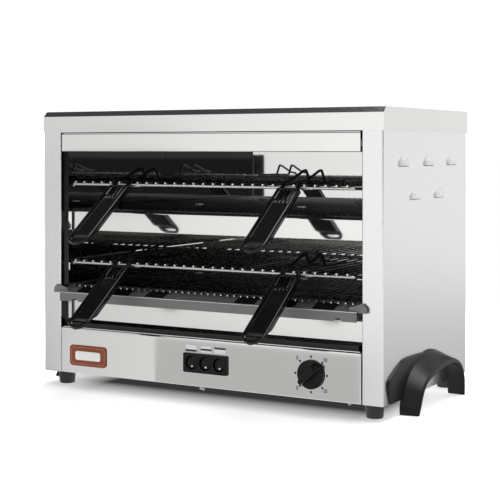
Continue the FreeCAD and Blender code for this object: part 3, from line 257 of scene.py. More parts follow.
trial = Finish("trial")
print("a bare finish starts with", len(trial.tree.nodes), "nodes")
bpy.data.materials.remove(trial.material)

# %% [markdown]
# ## Polished sheet steel
#
# The sheets are rolled stainless steel, ground or polished. A photo of brushed
# steel would be the quick way to show it, but it repeats and has its own light
# painted in. Here a noise that is stretched along the sheet is the grain. It gives
# no colour: it changes the gloss and tilts the surface a little, as real grain
# does. A slow noise is the smear that a wiping cloth leaves, and a slower one
# shades the steel by a few hundredths.
#
# The cavity and the panels are nearly mirrors, the outside is a little duller, and the guard's frame and the
# crumb tray are dark and dull.

# %% Sheet steel


def steel(name, colour, gloss, grain=(1, 60, 60), wipe=0.05, bump=0.00002, metal=1.0):
    """Polished sheet steel with a grain along one axis."""
    finish = Finish(name, colour, Metallic=metal, Roughness=gloss)
    fine = finish.noise(90.0, grain, detail=4.0)
    smear = finish.noise(5.0, detail=5.0, roughness=0.6)
    finish.feed("Roughness", gloss + (fine - 0.5) * (gloss * 0.3) + (smear - 0.45) * wipe)
    darker = tuple(value * 0.94 for value in colour)
    finish.feed("Base Color", finish.mix(finish.noise(3.0, detail=2.0), colour, darker))
    finish.bump(fine, bump, 0.5)
    return finish.material


OUTER = steel("outer_steel", (0.74, 0.74, 0.725), 0.15, bump=0.000004)
BACKSHEET = steel("back_steel", (0.66, 0.67, 0.68), 0.34, wipe=0.12)
CAVITY = steel("cavity_steel", (0.70, 0.70, 0.69), 0.02, wipe=0.012, bump=0.0000001)
PANEL = steel("panel_steel", (0.74, 0.74, 0.725), 0.06, wipe=0.02, bump=0.0000003)
GUARD = steel("guard_steel", (0.19, 0.19, 0.185), 0.45, wipe=0.12, metal=0.3)
TRAY = steel("tray_steel", (0.035, 0.035, 0.036), 0.3, wipe=0.14)
print("six sheet steels, of", len(OUTER.node_tree.nodes), "nodes each")

# %% [markdown]
# ## The side sheets
#
# Each side sheet wraps round into a front post, and its louvres are pressed out of it. Pressing stretches the
# skin and takes its polish off, and the edge that looks into the cavity lies in shade. Both could be pieces
# of their own. One material with masks keeps the sheet whole: what stands further out than the face is
# louvre, and what turns inwards behind the post's face gets painted shade, near black.

# %% Side steel
LOUVRE_EDGE = 0.5 * MM
SHADE_BAND = (258.0 * MM, 268.5 * MM)


def side_finish():
    """The side sheets: grained along their height, with painted shade inside the posts."""
    colour = (0.80, 0.80, 0.795)
    gloss = 0.27
    finish = Finish("side_steel", colour, Metallic=1.0, Roughness=gloss)
    fine = finish.noise(90.0, (60, 60, 1), detail=4.0)
    smear = finish.noise(5.0, detail=5.0, roughness=0.6)
    across = finish.axis("X")
    out = across.join("ABSOLUTE", across)
    pressed = out.above(SIDE_FACE + LOUVRE_EDGE, 0.3 * MM)
    finish.feed("Roughness", gloss + (fine - 0.5) * 0.04 + (smear - 0.45) * 0.05 + pressed * 0.2)
    finish.feed("Metallic", 1.0 - pressed * 0.55)
    behind = finish.axis("Y").above(FACE + 1.5 * MM, 1.0 * MM)
    # Painted shade: the sheet is painted near black where it turns inwards behind the post's face, in the
    # gap's shade.
    painted_shade = out.between(*SHADE_BAND, 0.4 * MM) * behind
    shade = finish.mix(finish.noise(3.0, detail=2.0), colour, (0.76, 0.76, 0.755))
    finish.feed("Base Color", finish.mix(painted_shade, shade, (0.03, 0.03, 0.03)))
    finish.bump(fine, 0.000002, 0.5)
    return finish.material


SIDE = side_finish()
print("side steel:", len(SIDE.node_tree.nodes), "nodes")

# %% [markdown]
# ## Wires and fasteners
#
# Rods, wires and screws are bright drawn metal that dulls in patches. Wires that reach into the cavity get
# painted shade, near black, and stay bright at their tips only. Painting each wire by hand would take hours.
# A mask along Y paints them all dark at once behind one edge, because every wire runs from front to back.

# %% Wire finishes


def wire_finish(name, colour, gloss):
    """Bright plated wire, a little dull in patches."""
    finish = Finish(name, colour, Metallic=1.0, Roughness=gloss)
    patches = finish.noise(40.0)
    finish.feed("Roughness", gloss + (patches - 0.4) * 0.16)
    finish.feed("Base Color", finish.mix(patches, colour, tuple(value * 0.72 for value in colour)))
    return finish.material


def tipped_wire(name, edge):
    """Wire that is bright at its tips and painted dark behind an edge, as the cavity's shade."""
    finish = Finish(name, (0.1, 0.1, 0.1), Metallic=1.0, Roughness=0.28)
    patches = finish.noise(40.0)
    finish.feed("Roughness", 0.24 + (patches - 0.4) * 0.2)
    # Painted shade: behind the edge the wires are painted near black, for the cavity's shade; in front of it
    # they keep the steel's colour.
    cavity_shade = finish.mix(patches, (0.05, 0.046, 0.042), (0.13, 0.12, 0.11))
    finish.feed("Base Color", finish.mix(finish.axis("Y").above(edge, 3.0 * MM), (0.72, 0.71, 0.69), cavity_shade))
    return finish.material


WIRE = wire_finish("wire", (0.66, 0.65, 0.63), 0.2)
DARK_WIRE = wire_finish("dark_wire", (0.09, 0.087, 0.083), 0.3)
PALE_STEEL = wire_finish("pale_steel", (0.9, 0.9, 0.88), 0.5)
SCREW = wire_finish("fastener_steel", (0.56, 0.56, 0.55), 0.25)
BRASS = wire_finish("shaft_brass", (0.72, 0.55, 0.28), 0.25)
RACK_WIRE = tipped_wire("rack_wire", FRONT + 14.0 * MM)
MESH_TIPS = low("bottom_guard_mesh", 1) - 12.0 * MM
MESH_WIRE = tipped_wire("mesh_wire", MESH_TIPS + 1.5 * MM)
print(f"the bottom mesh's wires start at Y = {MESH_TIPS / MM:.0f} mm")

# %% [markdown]
# ## Plastics, rubber, ceramic and print
#
# The handles are mirror-black plastic, the side arches have a fine texture that
# hides finger marks, and the feet are dull rubber. Each could have a shader of its
# own. They differ in colour, gloss and the mould's texture only, so one function
# makes them all. Black plastic turns grey when its colour is too pale: these
# colours are near zero, and the shine does the rest.

# %% Plastics


def plastic(name, colour, gloss, texture, speckle=0.0, size=900.0, shine=0.5):
    """A moulded plastic: a fine moulded texture, and slight marks in the gloss."""
    finish = Finish(name, colour, Roughness=gloss, Specular_IOR_Level=shine)
    fine = finish.noise(size, detail=2.0)
    marks = finish.noise(14.0, detail=4.0)
    finish.feed("Roughness", gloss + (marks - 0.45) * 0.12 + (fine - 0.5) * speckle)
    lighter = tuple(value * 1.7 + 0.004 for value in colour)
    finish.feed("Base Color", finish.mix(marks, colour, lighter))
    finish.bump(fine, texture, 0.6)
    return finish.material


HANDLE = plastic("handle_plastic", (0.0035, 0.0035, 0.0038), 0.14, 0.000003, shine=0.3)
# Painted shade: faces that look down get this copy of the handle plastic with almost no shine, so that they
# stay dark in the steel's reflections.
SHADED_UNDERSIDE = plastic("handle_underside", (0.0035, 0.0035, 0.0038), 0.3, 0.000003, shine=0.02)
ARCH = plastic("arch_plastic", (0.007, 0.0072, 0.0082), 0.36, 0.00003, speckle=0.1, shine=0.22)
CONTROL = plastic("control_plastic", (0.004, 0.004, 0.004), 0.22, 0.00001, shine=0.18)
INNER = plastic("inner_plastic", (0.05, 0.05, 0.05), 0.5, 0.00002)
RUBBER = plastic("foot_rubber", (0.010, 0.010, 0.010), 0.48, 0.00004, speckle=0.2)
CERAMIC = plastic("ceramic", (0.7, 0.68, 0.63), 0.6, 0.00005, speckle=0.2, size=500.0)
# Painted shade for the frame's slots.
SLOT_SHADE = plastic("slot_dark", (0.004, 0.004, 0.004), 0.8, 0.00001, shine=0.05)
PLATE = plastic("plate_paint", (0.23, 0.05, 0.02), 0.32, 0.00001, shine=0.3)
TAN = plastic("plate_line", (0.42, 0.25, 0.17), 0.4, 0.000004)
PALE = plastic("pale_print", (0.82, 0.81, 0.79), 0.4, 0.000004)
INK = plastic("ink", (0.012, 0.012, 0.012), 0.45, 0.000004)
GREY_INK = plastic("grey_ink", (0.30, 0.30, 0.30), 0.4, 0.000002)
print(len(bpy.data.materials), "materials so far")

# %% [markdown]
# ## Quartz tubes
#
# A heating tube is milky quartz with a wire coil inside. A real coil of more than a
# hundred turns, seen through glass, would cost far more than it shows behind the
# guards. A sine wave along the tube draws the turns as darker bands, under a clear
# coat that gives the glass its gleam.

# %% Quartz
COIL_PITCH = 4.0 * MM


def quartz_finish():
    """Milky quartz with the dim spiral of its heating coil inside."""
    finish = Finish("quartz", (0.62, 0.6, 0.56), Roughness=0.18, Coat_Weight=0.6, Coat_Roughness=0.05)
    turns = finish.axis("X") * (2 * math.pi / COIL_PITCH)
    coil = (turns.join("SINE", turns) * 0.5 + 0.5).above(0.62, 0.3)
    finish.feed("Base Color", finish.mix(coil, (0.6, 0.58, 0.54), (0.2, 0.19, 0.18)))
    return finish.material


QUARTZ = quartz_finish()
print(f"one dark band every {COIL_PITCH / MM:.0f} mm of tube")

# %% [markdown]
# ## Finishes on the solids
#
# The CAD record names the material of each solid. Going by that list, instead of
# naming 59 solids here, leaves no part grey. The side sheets get their own steel
# afterwards, and so do the three front pieces that are polished like mirrors.

# %% Dress the solids
SLOT_FINISH = {
    "outer_steel": OUTER, "back_steel": BACKSHEET, "cavity_steel": CAVITY, "guard_steel": GUARD,
    "tray_steel": TRAY, "wire": WIRE, "handle_plastic": HANDLE, "arch_plastic": ARCH,
    "control_plastic": CONTROL, "inner_plastic": INNER, "quartz": QUARTZ, "ceramic": CERAMIC,
    "foot_rubber": RUBBER, "fastener_steel": SCREW, "shaft_brass": BRASS, "plate_paint": PLATE,
}
for part in frame["record"]["subparts"]:
    solid = frame["nodes"][part["node"]]
    solid.data.materials.clear()
    solid.data.materials.append(SLOT_FINISH[part["material_slot"]])
for name in ("side_panel_left", "side_panel_right"):
    frame["nodes"][name].data.materials[0] = SIDE
for name in ("control_panel", "upper_fascia", "middle_strip"):
    frame["nodes"][name].data.materials[0] = PANEL

# %% [markdown]
# ## From a mesh to a piece
#
# Some parts of the toaster move, so each piece has to know its body. An object
# could be moved to its place, but a pattern on its coordinates would then slide.
# Here the place is in the mesh's own points and the object stays at the origin.
# put() names a piece, softens its shading except at sharp edges, and says which
# body it rides on and which solid it stands for.

# %% Put a piece in its place


def new_object(name, data):
    """An object in the scene, at the origin."""
    thing = bpy.data.objects.new(name, data)
    bpy.context.scene.collection.objects.link(thing)
    return thing


def put(name, mesh, body, node=None, crease=35.0):
    """Make a mesh into a piece of the toaster."""
    mesh.name = name
    mesh.shade_smooth()
    mesh.set_sharp_from_angle(angle=math.radians(crease))
    piece = new_object(name, mesh)
    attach(piece, body)
    if node:
        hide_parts(node)
    print(f"{name}: {len(mesh.polygons)} faces, on {body}" + (f", stands for {node}" if node else ""))


# %% [markdown]
# ## Joining what is welded or moulded together
#
# A rack is rods and wires, and a handle is a grip, two sheaths and a dot, but each
# is one piece to the hand. Separate objects could be parented to one another. One
# mesh is simpler to carry about, and it may have several materials: combine()
# keeps the one of every mesh that it joins, and moved() puts a copy in its place.

# %% Join and move


def painted(mesh, material):
    """The same mesh with a material."""
    mesh.materials.clear()
    mesh.materials.append(material)
    return mesh


def moved(mesh, matrix):
    """The same mesh somewhere else."""
    copy = mesh.copy()
    copy.transform(matrix)
    if matrix.determinant() < 0:
        copy.flip_normals()
    return copy


def combine(meshes):
    """Several meshes as one, each with its own material kept."""
    build = bmesh.new()
    materials = []
    for mesh in meshes:
        start = len(build.faces)
        build.from_mesh(mesh)
        build.faces.ensure_lookup_table()
        offsets = []
        for material in mesh.materials:
            if material not in materials:
                materials.append(material)
            offsets.append(materials.index(material))
        for face in build.faces[start:]:
            if offsets:
                face.material_index = offsets[min(face.material_index, len(offsets) - 1)]
    mesh = bpy.data.meshes.new("joined")
    build.to_mesh(mesh)
    build.free()
    for material in materials:
        mesh.materials.append(material)
    return mesh


trial = combine([painted(bpy.data.meshes.new("trial"), metal) for metal in (WIRE, SCREW, WIRE)])
print("three meshes in two metals keep", len(trial.materials), "materials when they are joined")

# %% [markdown]
# ## Skins and turned shapes
#
# A moulded or turned part is easiest to think of as a row of cross sections. A
# subdivided cube could be pushed into shape by hand, but nothing would tie it to
# the sizes. A skin over loops of points follows a formula, and turning is the same
# thing with circles for loops.

# %% Skins


def arc(x, y, radius, start, end, steps=6):
    """Points on an arc about a centre, from one angle to another in degrees."""
    return [(x + radius * math.cos(turn), y + radius * math.sin(turn))
            for turn in np.radians(np.linspace(start, end, steps + 1))]


def circle(radius, count, x=0.0):
    """Points of a full circle, with its centre on the X axis."""
    return arc(x, 0.0, radius, 0, 360, count)[:-1]


def mesh_from(build):
    """A mesh from a bmesh, with its faces turned outwards."""
    bmesh.ops.recalc_face_normals(build, faces=build.faces)
    mesh = bpy.data.meshes.new("mesh")
    build.to_mesh(mesh)
    build.free()
    return mesh


def loops_mesh(loops, ends=True):
    """A skin over closed loops of equal numbers of points, with flat ends."""
    build = bmesh.new()
    rings = [[build.verts.new(point) for point in loop] for loop in loops]
    for first, second in zip(rings, rings[1:]):
        for i in range(len(first)):
            j = (i + 1) % len(first)
            build.faces.new((first[i], first[j], second[j], second[i]))
    if ends:
        build.faces.new(rings[0])
        build.faces.new(list(reversed(rings[-1])))
    return mesh_from(build)


def turned(profile, count):
    """A round shape about Z from pairs of radius and height."""
    return loops_mesh([[(x, y, z) for x, y in circle(radius, count)] for radius, z in profile])


print("a turned peg of 20 sides has", len(turned([(1.0, 0.0), (1.0, 1.0)], 20).polygons), "faces")

# %% [markdown]
# ## Cutting one shape from another
#
# The handle's ring, the bezel's wells and the cross in a screw's head are all
# openings. Modelling round them by hand takes many small faces. A boolean cuts
# them, and a bevel that only takes sharp edges then breaks the cut's edge, as a
# mould or a file does. The modifiers are run here and read back, so that the piece
# is a plain mesh.

# %% Cutting


def read_back(thing):
    """The mesh that an object comes to when its modifiers have run."""
    bpy.context.view_layer.update()
    return bpy.data.meshes.new_from_object(thing.evaluated_get(bpy.context.evaluated_depsgraph_get()))


def prism(outline, depth, bevel=0.0):
    """A flat shape in X and Y drawn out along Z from 0, with a bevelled upper edge."""
    build = bmesh.new()
    face = build.faces.new([build.verts.new((x, y, 0.0)) for x, y in outline])
    out = bmesh.ops.extrude_face_region(build, geom=[face])
    lifted = [item for item in out["geom"] if isinstance(item, bmesh.types.BMVert)]
    bmesh.ops.translate(build, vec=(0, 0, depth), verts=lifted)
    bmesh.ops.recalc_face_normals(build, faces=build.faces)
    if bevel:
        top = [edge for edge in build.edges if all(abs(v.co.z - depth) < 1e-7 for v in edge.verts)]
        bmesh.ops.bevel(build, geom=top, offset=bevel, segments=3, profile=0.5,
                        affect="EDGES", clamp_overlap=True)
    return mesh_from(build)


def carved(mesh, cutter, soft=0.0, angle=60.0):
    """A mesh less another, with its sharp edges softened."""
    solid = new_object("carved_work", mesh)
    tool = new_object("cutter_work", cutter)
    step = solid.modifiers.new("cut", "BOOLEAN")
    step.operation = "DIFFERENCE"
    step.solver = "EXACT"
    step.object = tool
    if soft:
        soften = solid.modifiers.new("soften", "BEVEL")
        soften.width = soft
        soften.segments = 3
        soften.limit_method = "ANGLE"
        soften.angle_limit = math.radians(angle)
    result = read_back(solid)
    for thing in (solid, tool):
        bpy.data.objects.remove(thing)
    return result


washer = carved(prism(circle(2.0, 16), 1.0), prism(circle(1.0, 16), 3.0))
print("a disc of 18 faces has", len(washer.polygons), "when a hole is cut in it")

# %% [markdown]
# ## The rack handles
#
# Four black handles hang from the racks' front rods. Each has a rim at both sides,
# a sunk field between them with four ribs at its root, a step before the hanging
# ring, and two sheaths over the prongs. A sculpted block could look right from one
# side. A skin over nearly ninety cross sections keeps rim, field and ribs crisp
# from all sides, because each of them is one term in the formula of a section.

# %% Handle sections
HANDLE_LENGTH = 142.0 * MM
HANDLE_WIDTH = 37.0 * MM
HANDLE_THICK = 10.0 * MM
HANDLE_RIM = 3.4 * MM
HANDLE_RECESS = 3.0 * MM
FIELD_START = 2.5 * MM
FIELD_END = 113.0 * MM
RIBS_FADE = 27.0 * MM
RIB_PITCH = 6.2 * MM
RING_RISE = 104.0 * MM
RING_RADIUS = 14.6 * MM


def smooth_step(value):
    """A soft step from 0 to 1."""
    value = min(max(value, 0.0), 1.0)
    return value * value * (3 - 2 * value)


def handle_section(along):
    """Points round the handle, in X and Z, at a distance from its root."""
    half = HANDLE_WIDTH / 2
    tip = HANDLE_LENGTH - half
    if along > tip:
        half = math.sqrt(max(half * half - (along - tip) ** 2, 1e-9))
    half = max(half, 0.4 * MM)
    corner = min(2.2 * MM, half * 0.5)
    inner = half - HANDLE_RIM
    depth = HANDLE_RECESS * smooth_step((along - FIELD_START) / (1.6 * MM))
    depth *= 1.0 - smooth_step((along - FIELD_END) / (1.5 * MM))
    top = HANDLE_THICK / 2
    under = -top + 4.6 * MM * smooth_step((along - RING_RISE) / (16.0 * MM))
    ribs = 1.0 - smooth_step((along - RIBS_FADE) / (7.0 * MM))
    field = []
    if inner > 3 * MM:
        for across in np.linspace(-1, 1, 41):
            edge = smooth_step((1 - abs(across)) * inner / (1.3 * MM))
            wave = max(0.0, math.cos(across * inner / RIB_PITCH * 2 * math.pi + math.pi)) ** 1.6
            lift = wave * ribs * 0.85 * (1 if abs(across) < 0.86 else 0)
            field.append((across * inner, top - depth * edge * (1 - lift)))
    else:
        field += [(x, top) for x in np.linspace(-half + corner, half - corner, 41)]
    return (arc(-half + corner, top - corner, corner, 180, 90) + field
            + arc(half - corner, top - corner, corner, 90, 0)
            + arc(half - corner, under + corner, corner, 0, -90)
            + arc(-half + corner, under + corner, corner, 270, 180))


print("a handle section has", len(handle_section(50 * MM)), "points")

# %% Handle mesh
PRONG_GAUGE = 26.0 * MM
PRONG_LIFT = 1.6 * MM


def handle_mesh():
    """One handle in its own place: root at the origin, running down minus Y."""
    stations = [0.0, 0.5, 1.5]
    stations += list(np.linspace(2.5, 4.5, 6)) + list(np.linspace(7, 112, 40))
    stations += list(np.linspace(113, 115, 6)) + list(np.linspace(118, 141.2, 30)) + [141.7, 141.93]
    loops = []
    for along in stations:
        shrink = 1.0 - 0.06 * max(1.5 - along, 0.0)
        loops.append([(x * shrink, -along * MM, z * shrink) for x, z in handle_section(along * MM)])
    ring = arc(0.0, HANDLE_WIDTH / 2 - HANDLE_LENGTH, RING_RADIUS, 180, 360, 24)
    opening = prism(ring, HANDLE_THICK * 2)
    opening.transform(Matrix.Translation((0, 0, -HANDLE_THICK)))
    parts = [carved(loops_mesh(loops), opening, 0.9 * MM)]
    for x in (-PRONG_GAUGE / 2, PRONG_GAUGE / 2):
        sheath = turned([(2.0 * MM, -6.0 * MM), (3.0 * MM, -4.0 * MM), (2.9 * MM, 2.0 * MM),
                         (2.6 * MM, 9.0 * MM), (2.3 * MM, 14.0 * MM), (1.7 * MM, 15.5 * MM)], 20)
        sheath.transform(Matrix.Translation((x, 0, PRONG_LIFT)) @ Matrix.Rotation(math.radians(-90), 4, "X"))
        parts.append(sheath)
    dot = turned([(1.5 * MM, 0.0), (1.4 * MM, 0.6 * MM), (1.0 * MM, 1.1 * MM), (0.4 * MM, 1.35 * MM)], 20)
    dot.transform(Matrix.Translation((-9.6 * MM, -107.0 * MM, HANDLE_THICK / 2 - HANDLE_RECESS)))
    handle = combine(parts + [dot])
    for material in (HANDLE, SHADED_UNDERSIDE):
        handle.materials.append(material)
    # Faces that look down get the dull copy, as painted shade.
    for polygon in handle.polygons:
        polygon.material_index = 1 if polygon.normal.z < -0.3 else 0
    return handle


one_handle = handle_mesh()
print("one handle has", len(one_handle.polygons), "faces")

# %% [markdown]
# ## Hanging the handles
#
# The four handles come from one mould. Four objects could share one mesh, but a
# piece has its place in its own mesh, so each handle is a copy. All are tilted
# forward by the same angle, and each rides on its rack.

# %% Hang the handles
HANDLE_OFFSET = 150.0 * MM
HANDLE_SLOPE = math.radians(36.0)
RACK_LEVEL = {"upper": 324.0 * MM, "lower": 198.5 * MM}
RACK_FRONT = FRONT + 10.0 * MM
SIDES = (("left", -1), ("right", 1))


def handle_root(level):
    """Where a handle begins, below and before its rack's front rod."""
    return Vector((0, RACK_FRONT - 7 * MM, level - 3 * MM))


for rack, level in RACK_LEVEL.items():
    for side, sign in SIDES:
        root = handle_root(level) + Vector((sign * HANDLE_OFFSET, 0, 0))
        place = Matrix.Translation(root) @ Matrix.Rotation(HANDLE_SLOPE, 4, "X")
        node = f"{rack}_handle_{side}"
        put(f"{node}_look", moved(one_handle, place), f"{rack}_rack_assembly", node)

# %% [markdown]
# ## Trees that repeat a shape
#
# Rows of wires, dial marks and screws are one shape many times. A Python loop or an
# array modifier could copy them. A geometry tree does it in one evaluation, and its
# named inputs let the same tree serve two racks and four guards. What it grows is
# read back as a plain mesh, because an export keeps no instances.

# %% Geometry trees


class Repeater(Nodes):
    """A geometry node tree with named inputs, which grows plain meshes."""

    def __init__(self, name):
        group = bpy.data.node_groups.new(name, "GeometryNodeTree")
        super().__init__(group)
        self.inputs = self.node("NodeGroupInput")
        self.output = self.node("NodeGroupOutput")
        group.interface.new_socket("Geometry", in_out="OUTPUT", socket_type="NodeSocketGeometry")
        self.identifiers = {}

    def ask(self, name, kind, value=None):
        """Add a named input and return its socket."""
        item = self.tree.interface.new_socket(name, in_out="INPUT", socket_type="NodeSocket" + kind)
        if value is not None:
            item.default_value = value
        self.identifiers[name] = item.identifier
        return next(socket for socket in self.inputs.outputs if socket.identifier == item.identifier)

    def vector(self, x=0.0, y=0.0, z=0.0):
        """A place put together from three numbers or sockets."""
        return self.node("ShaderNodeCombineXYZ", {"X": x, "Y": y, "Z": z}).outputs[0]

    def end(self, geometry, material):
        """Make the instances real and give them their material."""
        real = self.node("GeometryNodeRealizeInstances", {"Geometry": geometry})
        smooth = self.node("GeometryNodeSetShadeSmooth", {"Geometry": real.outputs[0]})
        last = self.node("GeometryNodeSetMaterial", {"Geometry": smooth.outputs[0], "Material": material})
        self.tree.links.new(last.outputs[0], self.output.inputs[0])

    def grow(self, values, base=None):
        """Run the tree with some inputs and return a plain mesh."""
        holder = new_object("growing", base or bpy.data.meshes.new("nothing"))
        modifier = holder.modifiers.new("grow", "NODES")
        modifier.node_group = self.tree
        for name, value in values.items():
            modifier[self.identifiers[name]] = value
        grown = read_back(holder)
        holder.modifiers.clear()
        bpy.data.objects.remove(holder)
        return grown


trial = Repeater("trial")
trial.ask("Count", "Int", 10)
print("the input Count is set by its identifier,", trial.identifiers["Count"])
bpy.data.node_groups.remove(trial.tree)

# %% [markdown]
# ## A row of wires
#
# Racks and guards are rows of straight wires, welded at equal steps. Perfect copies
# would look drawn with a ruler. Real wires are never quite true, so each point is
# pushed aside by a noise that changes quickly across the row and slowly along a
# wire, before a round section is run along it.

# %% Wire row


def wire_row_tree():
    """A row of wires along Y, each a little out of true in its own way."""
    tree = Repeater("wire_row")
    count = tree.ask("Count", "Int", 10)
    pitch = tree.ask("Pitch", "Float", 0.01)
    length = tree.ask("Length", "Float", 0.3)
    radius = tree.ask("Radius", "Float", 0.0015)
    start = tree.ask("Start", "Vector", (0.0, 0.0, 0.0))
    sway = tree.ask("Sway", "Float", 0.0003)
    material = tree.ask("Material", "Material")
    row = tree.node("GeometryNodeMeshLine", {
        "Count": count, "Start Location": start, "Offset": tree.vector(pitch)}, mode="OFFSET")
    straight = tree.node("GeometryNodeCurvePrimitiveLine", {"End": tree.vector(y=length)})
    stepped = tree.node("GeometryNodeResampleCurve", {"Curve": straight.outputs[0], "Count": 16})
    copies = tree.node("GeometryNodeInstanceOnPoints", {
        "Points": row.outputs[0], "Instance": stepped.outputs[0]})
    curves = tree.node("GeometryNodeRealizeInstances", {"Geometry": copies.outputs[0]})
    place = tree.node("GeometryNodeInputPosition").outputs[0]
    stretched = tree.node("ShaderNodeVectorMath", {0: place, 1: (97.0, 11.0, 1.0)}, operation="MULTIPLY")
    noise = tree.node("ShaderNodeTexNoise", {"Vector": stretched.outputs[0], "Scale": 1.0, "Detail": 1.0})
    centred = tree.node("ShaderNodeVectorMath", {0: noise.outputs["Color"], 1: (0.5, 0.5, 0.5)},
                        operation="SUBTRACT")
    flat = tree.node("ShaderNodeVectorMath", {0: centred.outputs[0], 1: (2.0, 0.0, 1.2)},
                     operation="MULTIPLY")
    shift = tree.node("ShaderNodeVectorMath", {0: flat.outputs[0], "Scale": sway}, operation="SCALE")
    swayed = tree.node("GeometryNodeSetPosition", {"Geometry": curves.outputs[0], "Offset": shift.outputs[0]})
    ring = tree.node("GeometryNodeCurvePrimitiveCircle", {"Resolution": 10, "Radius": radius})
    skin = tree.node("GeometryNodeCurveToMesh", {
        "Curve": swayed.outputs[0], "Profile Curve": ring.outputs[0], "Fill Caps": True})
    tree.end(skin.outputs[0], material)
    return tree


WIRE_ROW = wire_row_tree()


def wires(count, pitch, radius, y_start, y_end, level, sway, material):
    """A row of wires, centred on the middle of the toaster."""
    return WIRE_ROW.grow({
        "Count": count, "Pitch": pitch, "Length": y_end - y_start, "Radius": radius,
        "Start": (-pitch * (count - 1) / 2, y_start, level), "Sway": sway, "Material": material})


print("the wire row asks for", ", ".join(WIRE_ROW.identifiers))

# %% [markdown]
# ## The racks
#
# A rack is one thick rod, bent into a loop, with a row of thinner wires welded on
# top. The loop could be a curve with a round bevel. A tube made point by point has
# its number of sides under control, and its corners keep the bending radius of the
# real rod.

# %% Bend a rod


def rounded_path(corners, radius, steps):
    """Straight runs through corners, with each corner turned at a radius."""
    corners = [Vector(corner) for corner in corners]
    points = [corners[0]]
    for before, corner, after in zip(corners, corners[1:], corners[2:]):
        into = (before - corner).normalized()
        onto = (after - corner).normalized()
        half = into.angle(onto) / 2
        setback = radius / math.tan(half)
        centre = corner + (into + onto).normalized() * (radius / math.sin(half))
        start = corner + into * setback - centre
        end = corner + onto * setback - centre
        swing = start.angle(end)
        for i in range(steps + 1):
            share = i / steps
            points.append(centre + (start * math.sin(swing * (1 - share))
                                    + end * math.sin(swing * share)) / math.sin(swing))
    points.append(corners[-1])
    return points


def tube(points, radius, sides, closed=False):
    """A round wire along points, with its sides carried along without twist."""
    points = [Vector(point) for point in points]
    count = len(points)
    normal = None
    loops = []
    for i, point in enumerate(points):
        before = points[(i - 1) % count] if closed else points[max(i - 1, 0)]
        after = points[(i + 1) % count] if closed else points[min(i + 1, count - 1)]
        tangent = (after - before).normalized()
        if normal is None:
            normal = tangent.orthogonal().normalized()
        normal = (normal - tangent * normal.dot(tangent)).normalized()
        side = tangent.cross(normal)
        loops.append([point + (normal * math.cos(a) + side * math.sin(a)) * radius
                      for a in (2 * math.pi * k / sides for k in range(sides))])
    if closed:
        return loops_mesh(loops + [loops[0]], ends=False)
    return loops_mesh(loops)


bend = rounded_path([(0, 0, 0), (1, 0, 0), (1, 1, 0)], 0.2, 10)
print("a path with one bend has", len(bend), "points")

# %% Racks
RACK_ROD = 2.25 * MM
RACK_THIN = 1.5 * MM
RACK_PITCH = 17.2 * MM
RACK_CORNER = 9.0 * MM
RACK_OVERHANG = 3.0 * MM


def make_rack(name):
    """The loop of rod and its wires."""
    half = high(name, 0) - RACK_ROD
    front = low(name, 1) + RACK_OVERHANG
    rear = high(name, 1) - RACK_OVERHANG
    level = low(name, 2) + RACK_ROD
    corners = [(0, front, level), (half, front, level), (half, rear, level), (-half, rear, level),
               (-half, front, level), (0, front, level)]
    path = rounded_path(corners, RACK_CORNER, 10)[:-1]
    loop = painted(tube(path, RACK_ROD, 16, closed=True), WIRE)
    count = int(2 * (half - RACK_CORNER) / RACK_PITCH) + 1
    rows = wires(count, RACK_PITCH, RACK_THIN, low(name, 1), high(name, 1), high(name, 2) - RACK_THIN,
                 0.25 * MM, RACK_WIRE)
    put(f"{name}_look", combine([loop, rows]), f"{name}_assembly", name, 50)


for name in ("upper_rack", "lower_rack"):
    make_rack(name)

# %% [markdown]
# ## The guards
#
# A guard is a finer row of wires on three cross rods, which keeps bread and fingers off the tubes. A flat
# sheet with holes painted on would do from far away, but light has to fall through it and its wires have to
# catch the light one by one. The bottom guard's wires start a little further forward, over its frame, and
# painted shade leaves only their tips bright.

# %% Guards
GUARD_REACH = 251.0 * MM
GUARD_THIN = 1.1 * MM
GUARD_ROD = 2.0 * MM
GUARD_PITCH = 11.5 * MM


def make_guard(name, rod_above):
    """The fine wires of a guard and its three cross rods."""
    half = high(name, 0)
    front = low(name, 1)
    rear = high(name, 1)
    base = low(name, 2)
    top = high(name, 2)
    level = base + GUARD_THIN if rod_above else top - GUARD_THIN
    rod_level = top - GUARD_ROD if rod_above else base + GUARD_ROD
    meshes = []
    for share in (0.06, 0.5, 0.94):
        y = front + (rear - front) * share
        rod = tube([(x, y, rod_level) for x in (-half, 0, half)], GUARD_ROD, 12)
        meshes.append(painted(rod, DARK_WIRE))
    count = int(2 * GUARD_REACH / GUARD_PITCH) + 1
    lowest = name == "bottom_guard_mesh"
    meshes.append(wires(count, GUARD_PITCH, GUARD_THIN, MESH_TIPS if lowest else front, rear, level,
                        0.15 * MM, MESH_WIRE if lowest else DARK_WIRE))
    put(f"{name}_look", combine(meshes), "cabinet", name, 50)


for name, rod_above in (("top_guard", True), ("middle_lower_guard", True),
                        ("middle_upper_guard", False), ("bottom_guard_mesh", False)):
    make_guard(name, rod_above)

# %% [markdown]
# ## The prongs that carry the handles
#
# Two prongs of wire run out of each handle, climb over the rack's front rod, rise a
# little further back, drop steeply and then lie along the wires, tied by a tab. A
# bright sleeve grips the rod beside them. A smooth curve through the same places
# would have no straight runs. A path of straight runs with one bending radius is
# how a wire bender works, so the route is a short list of places behind the rod and
# above it.

# %% Prongs
PRONG_RADIUS = 2.0 * MM
PRONG_LEVEL = 7.0 * MM
PRONG_ROUTE = [(24.0, 10.5), (46.0, 18.0), (62.0, 23.5), (71.0, 24.5), (82.0, 7.0), (150.0, 7.0)]


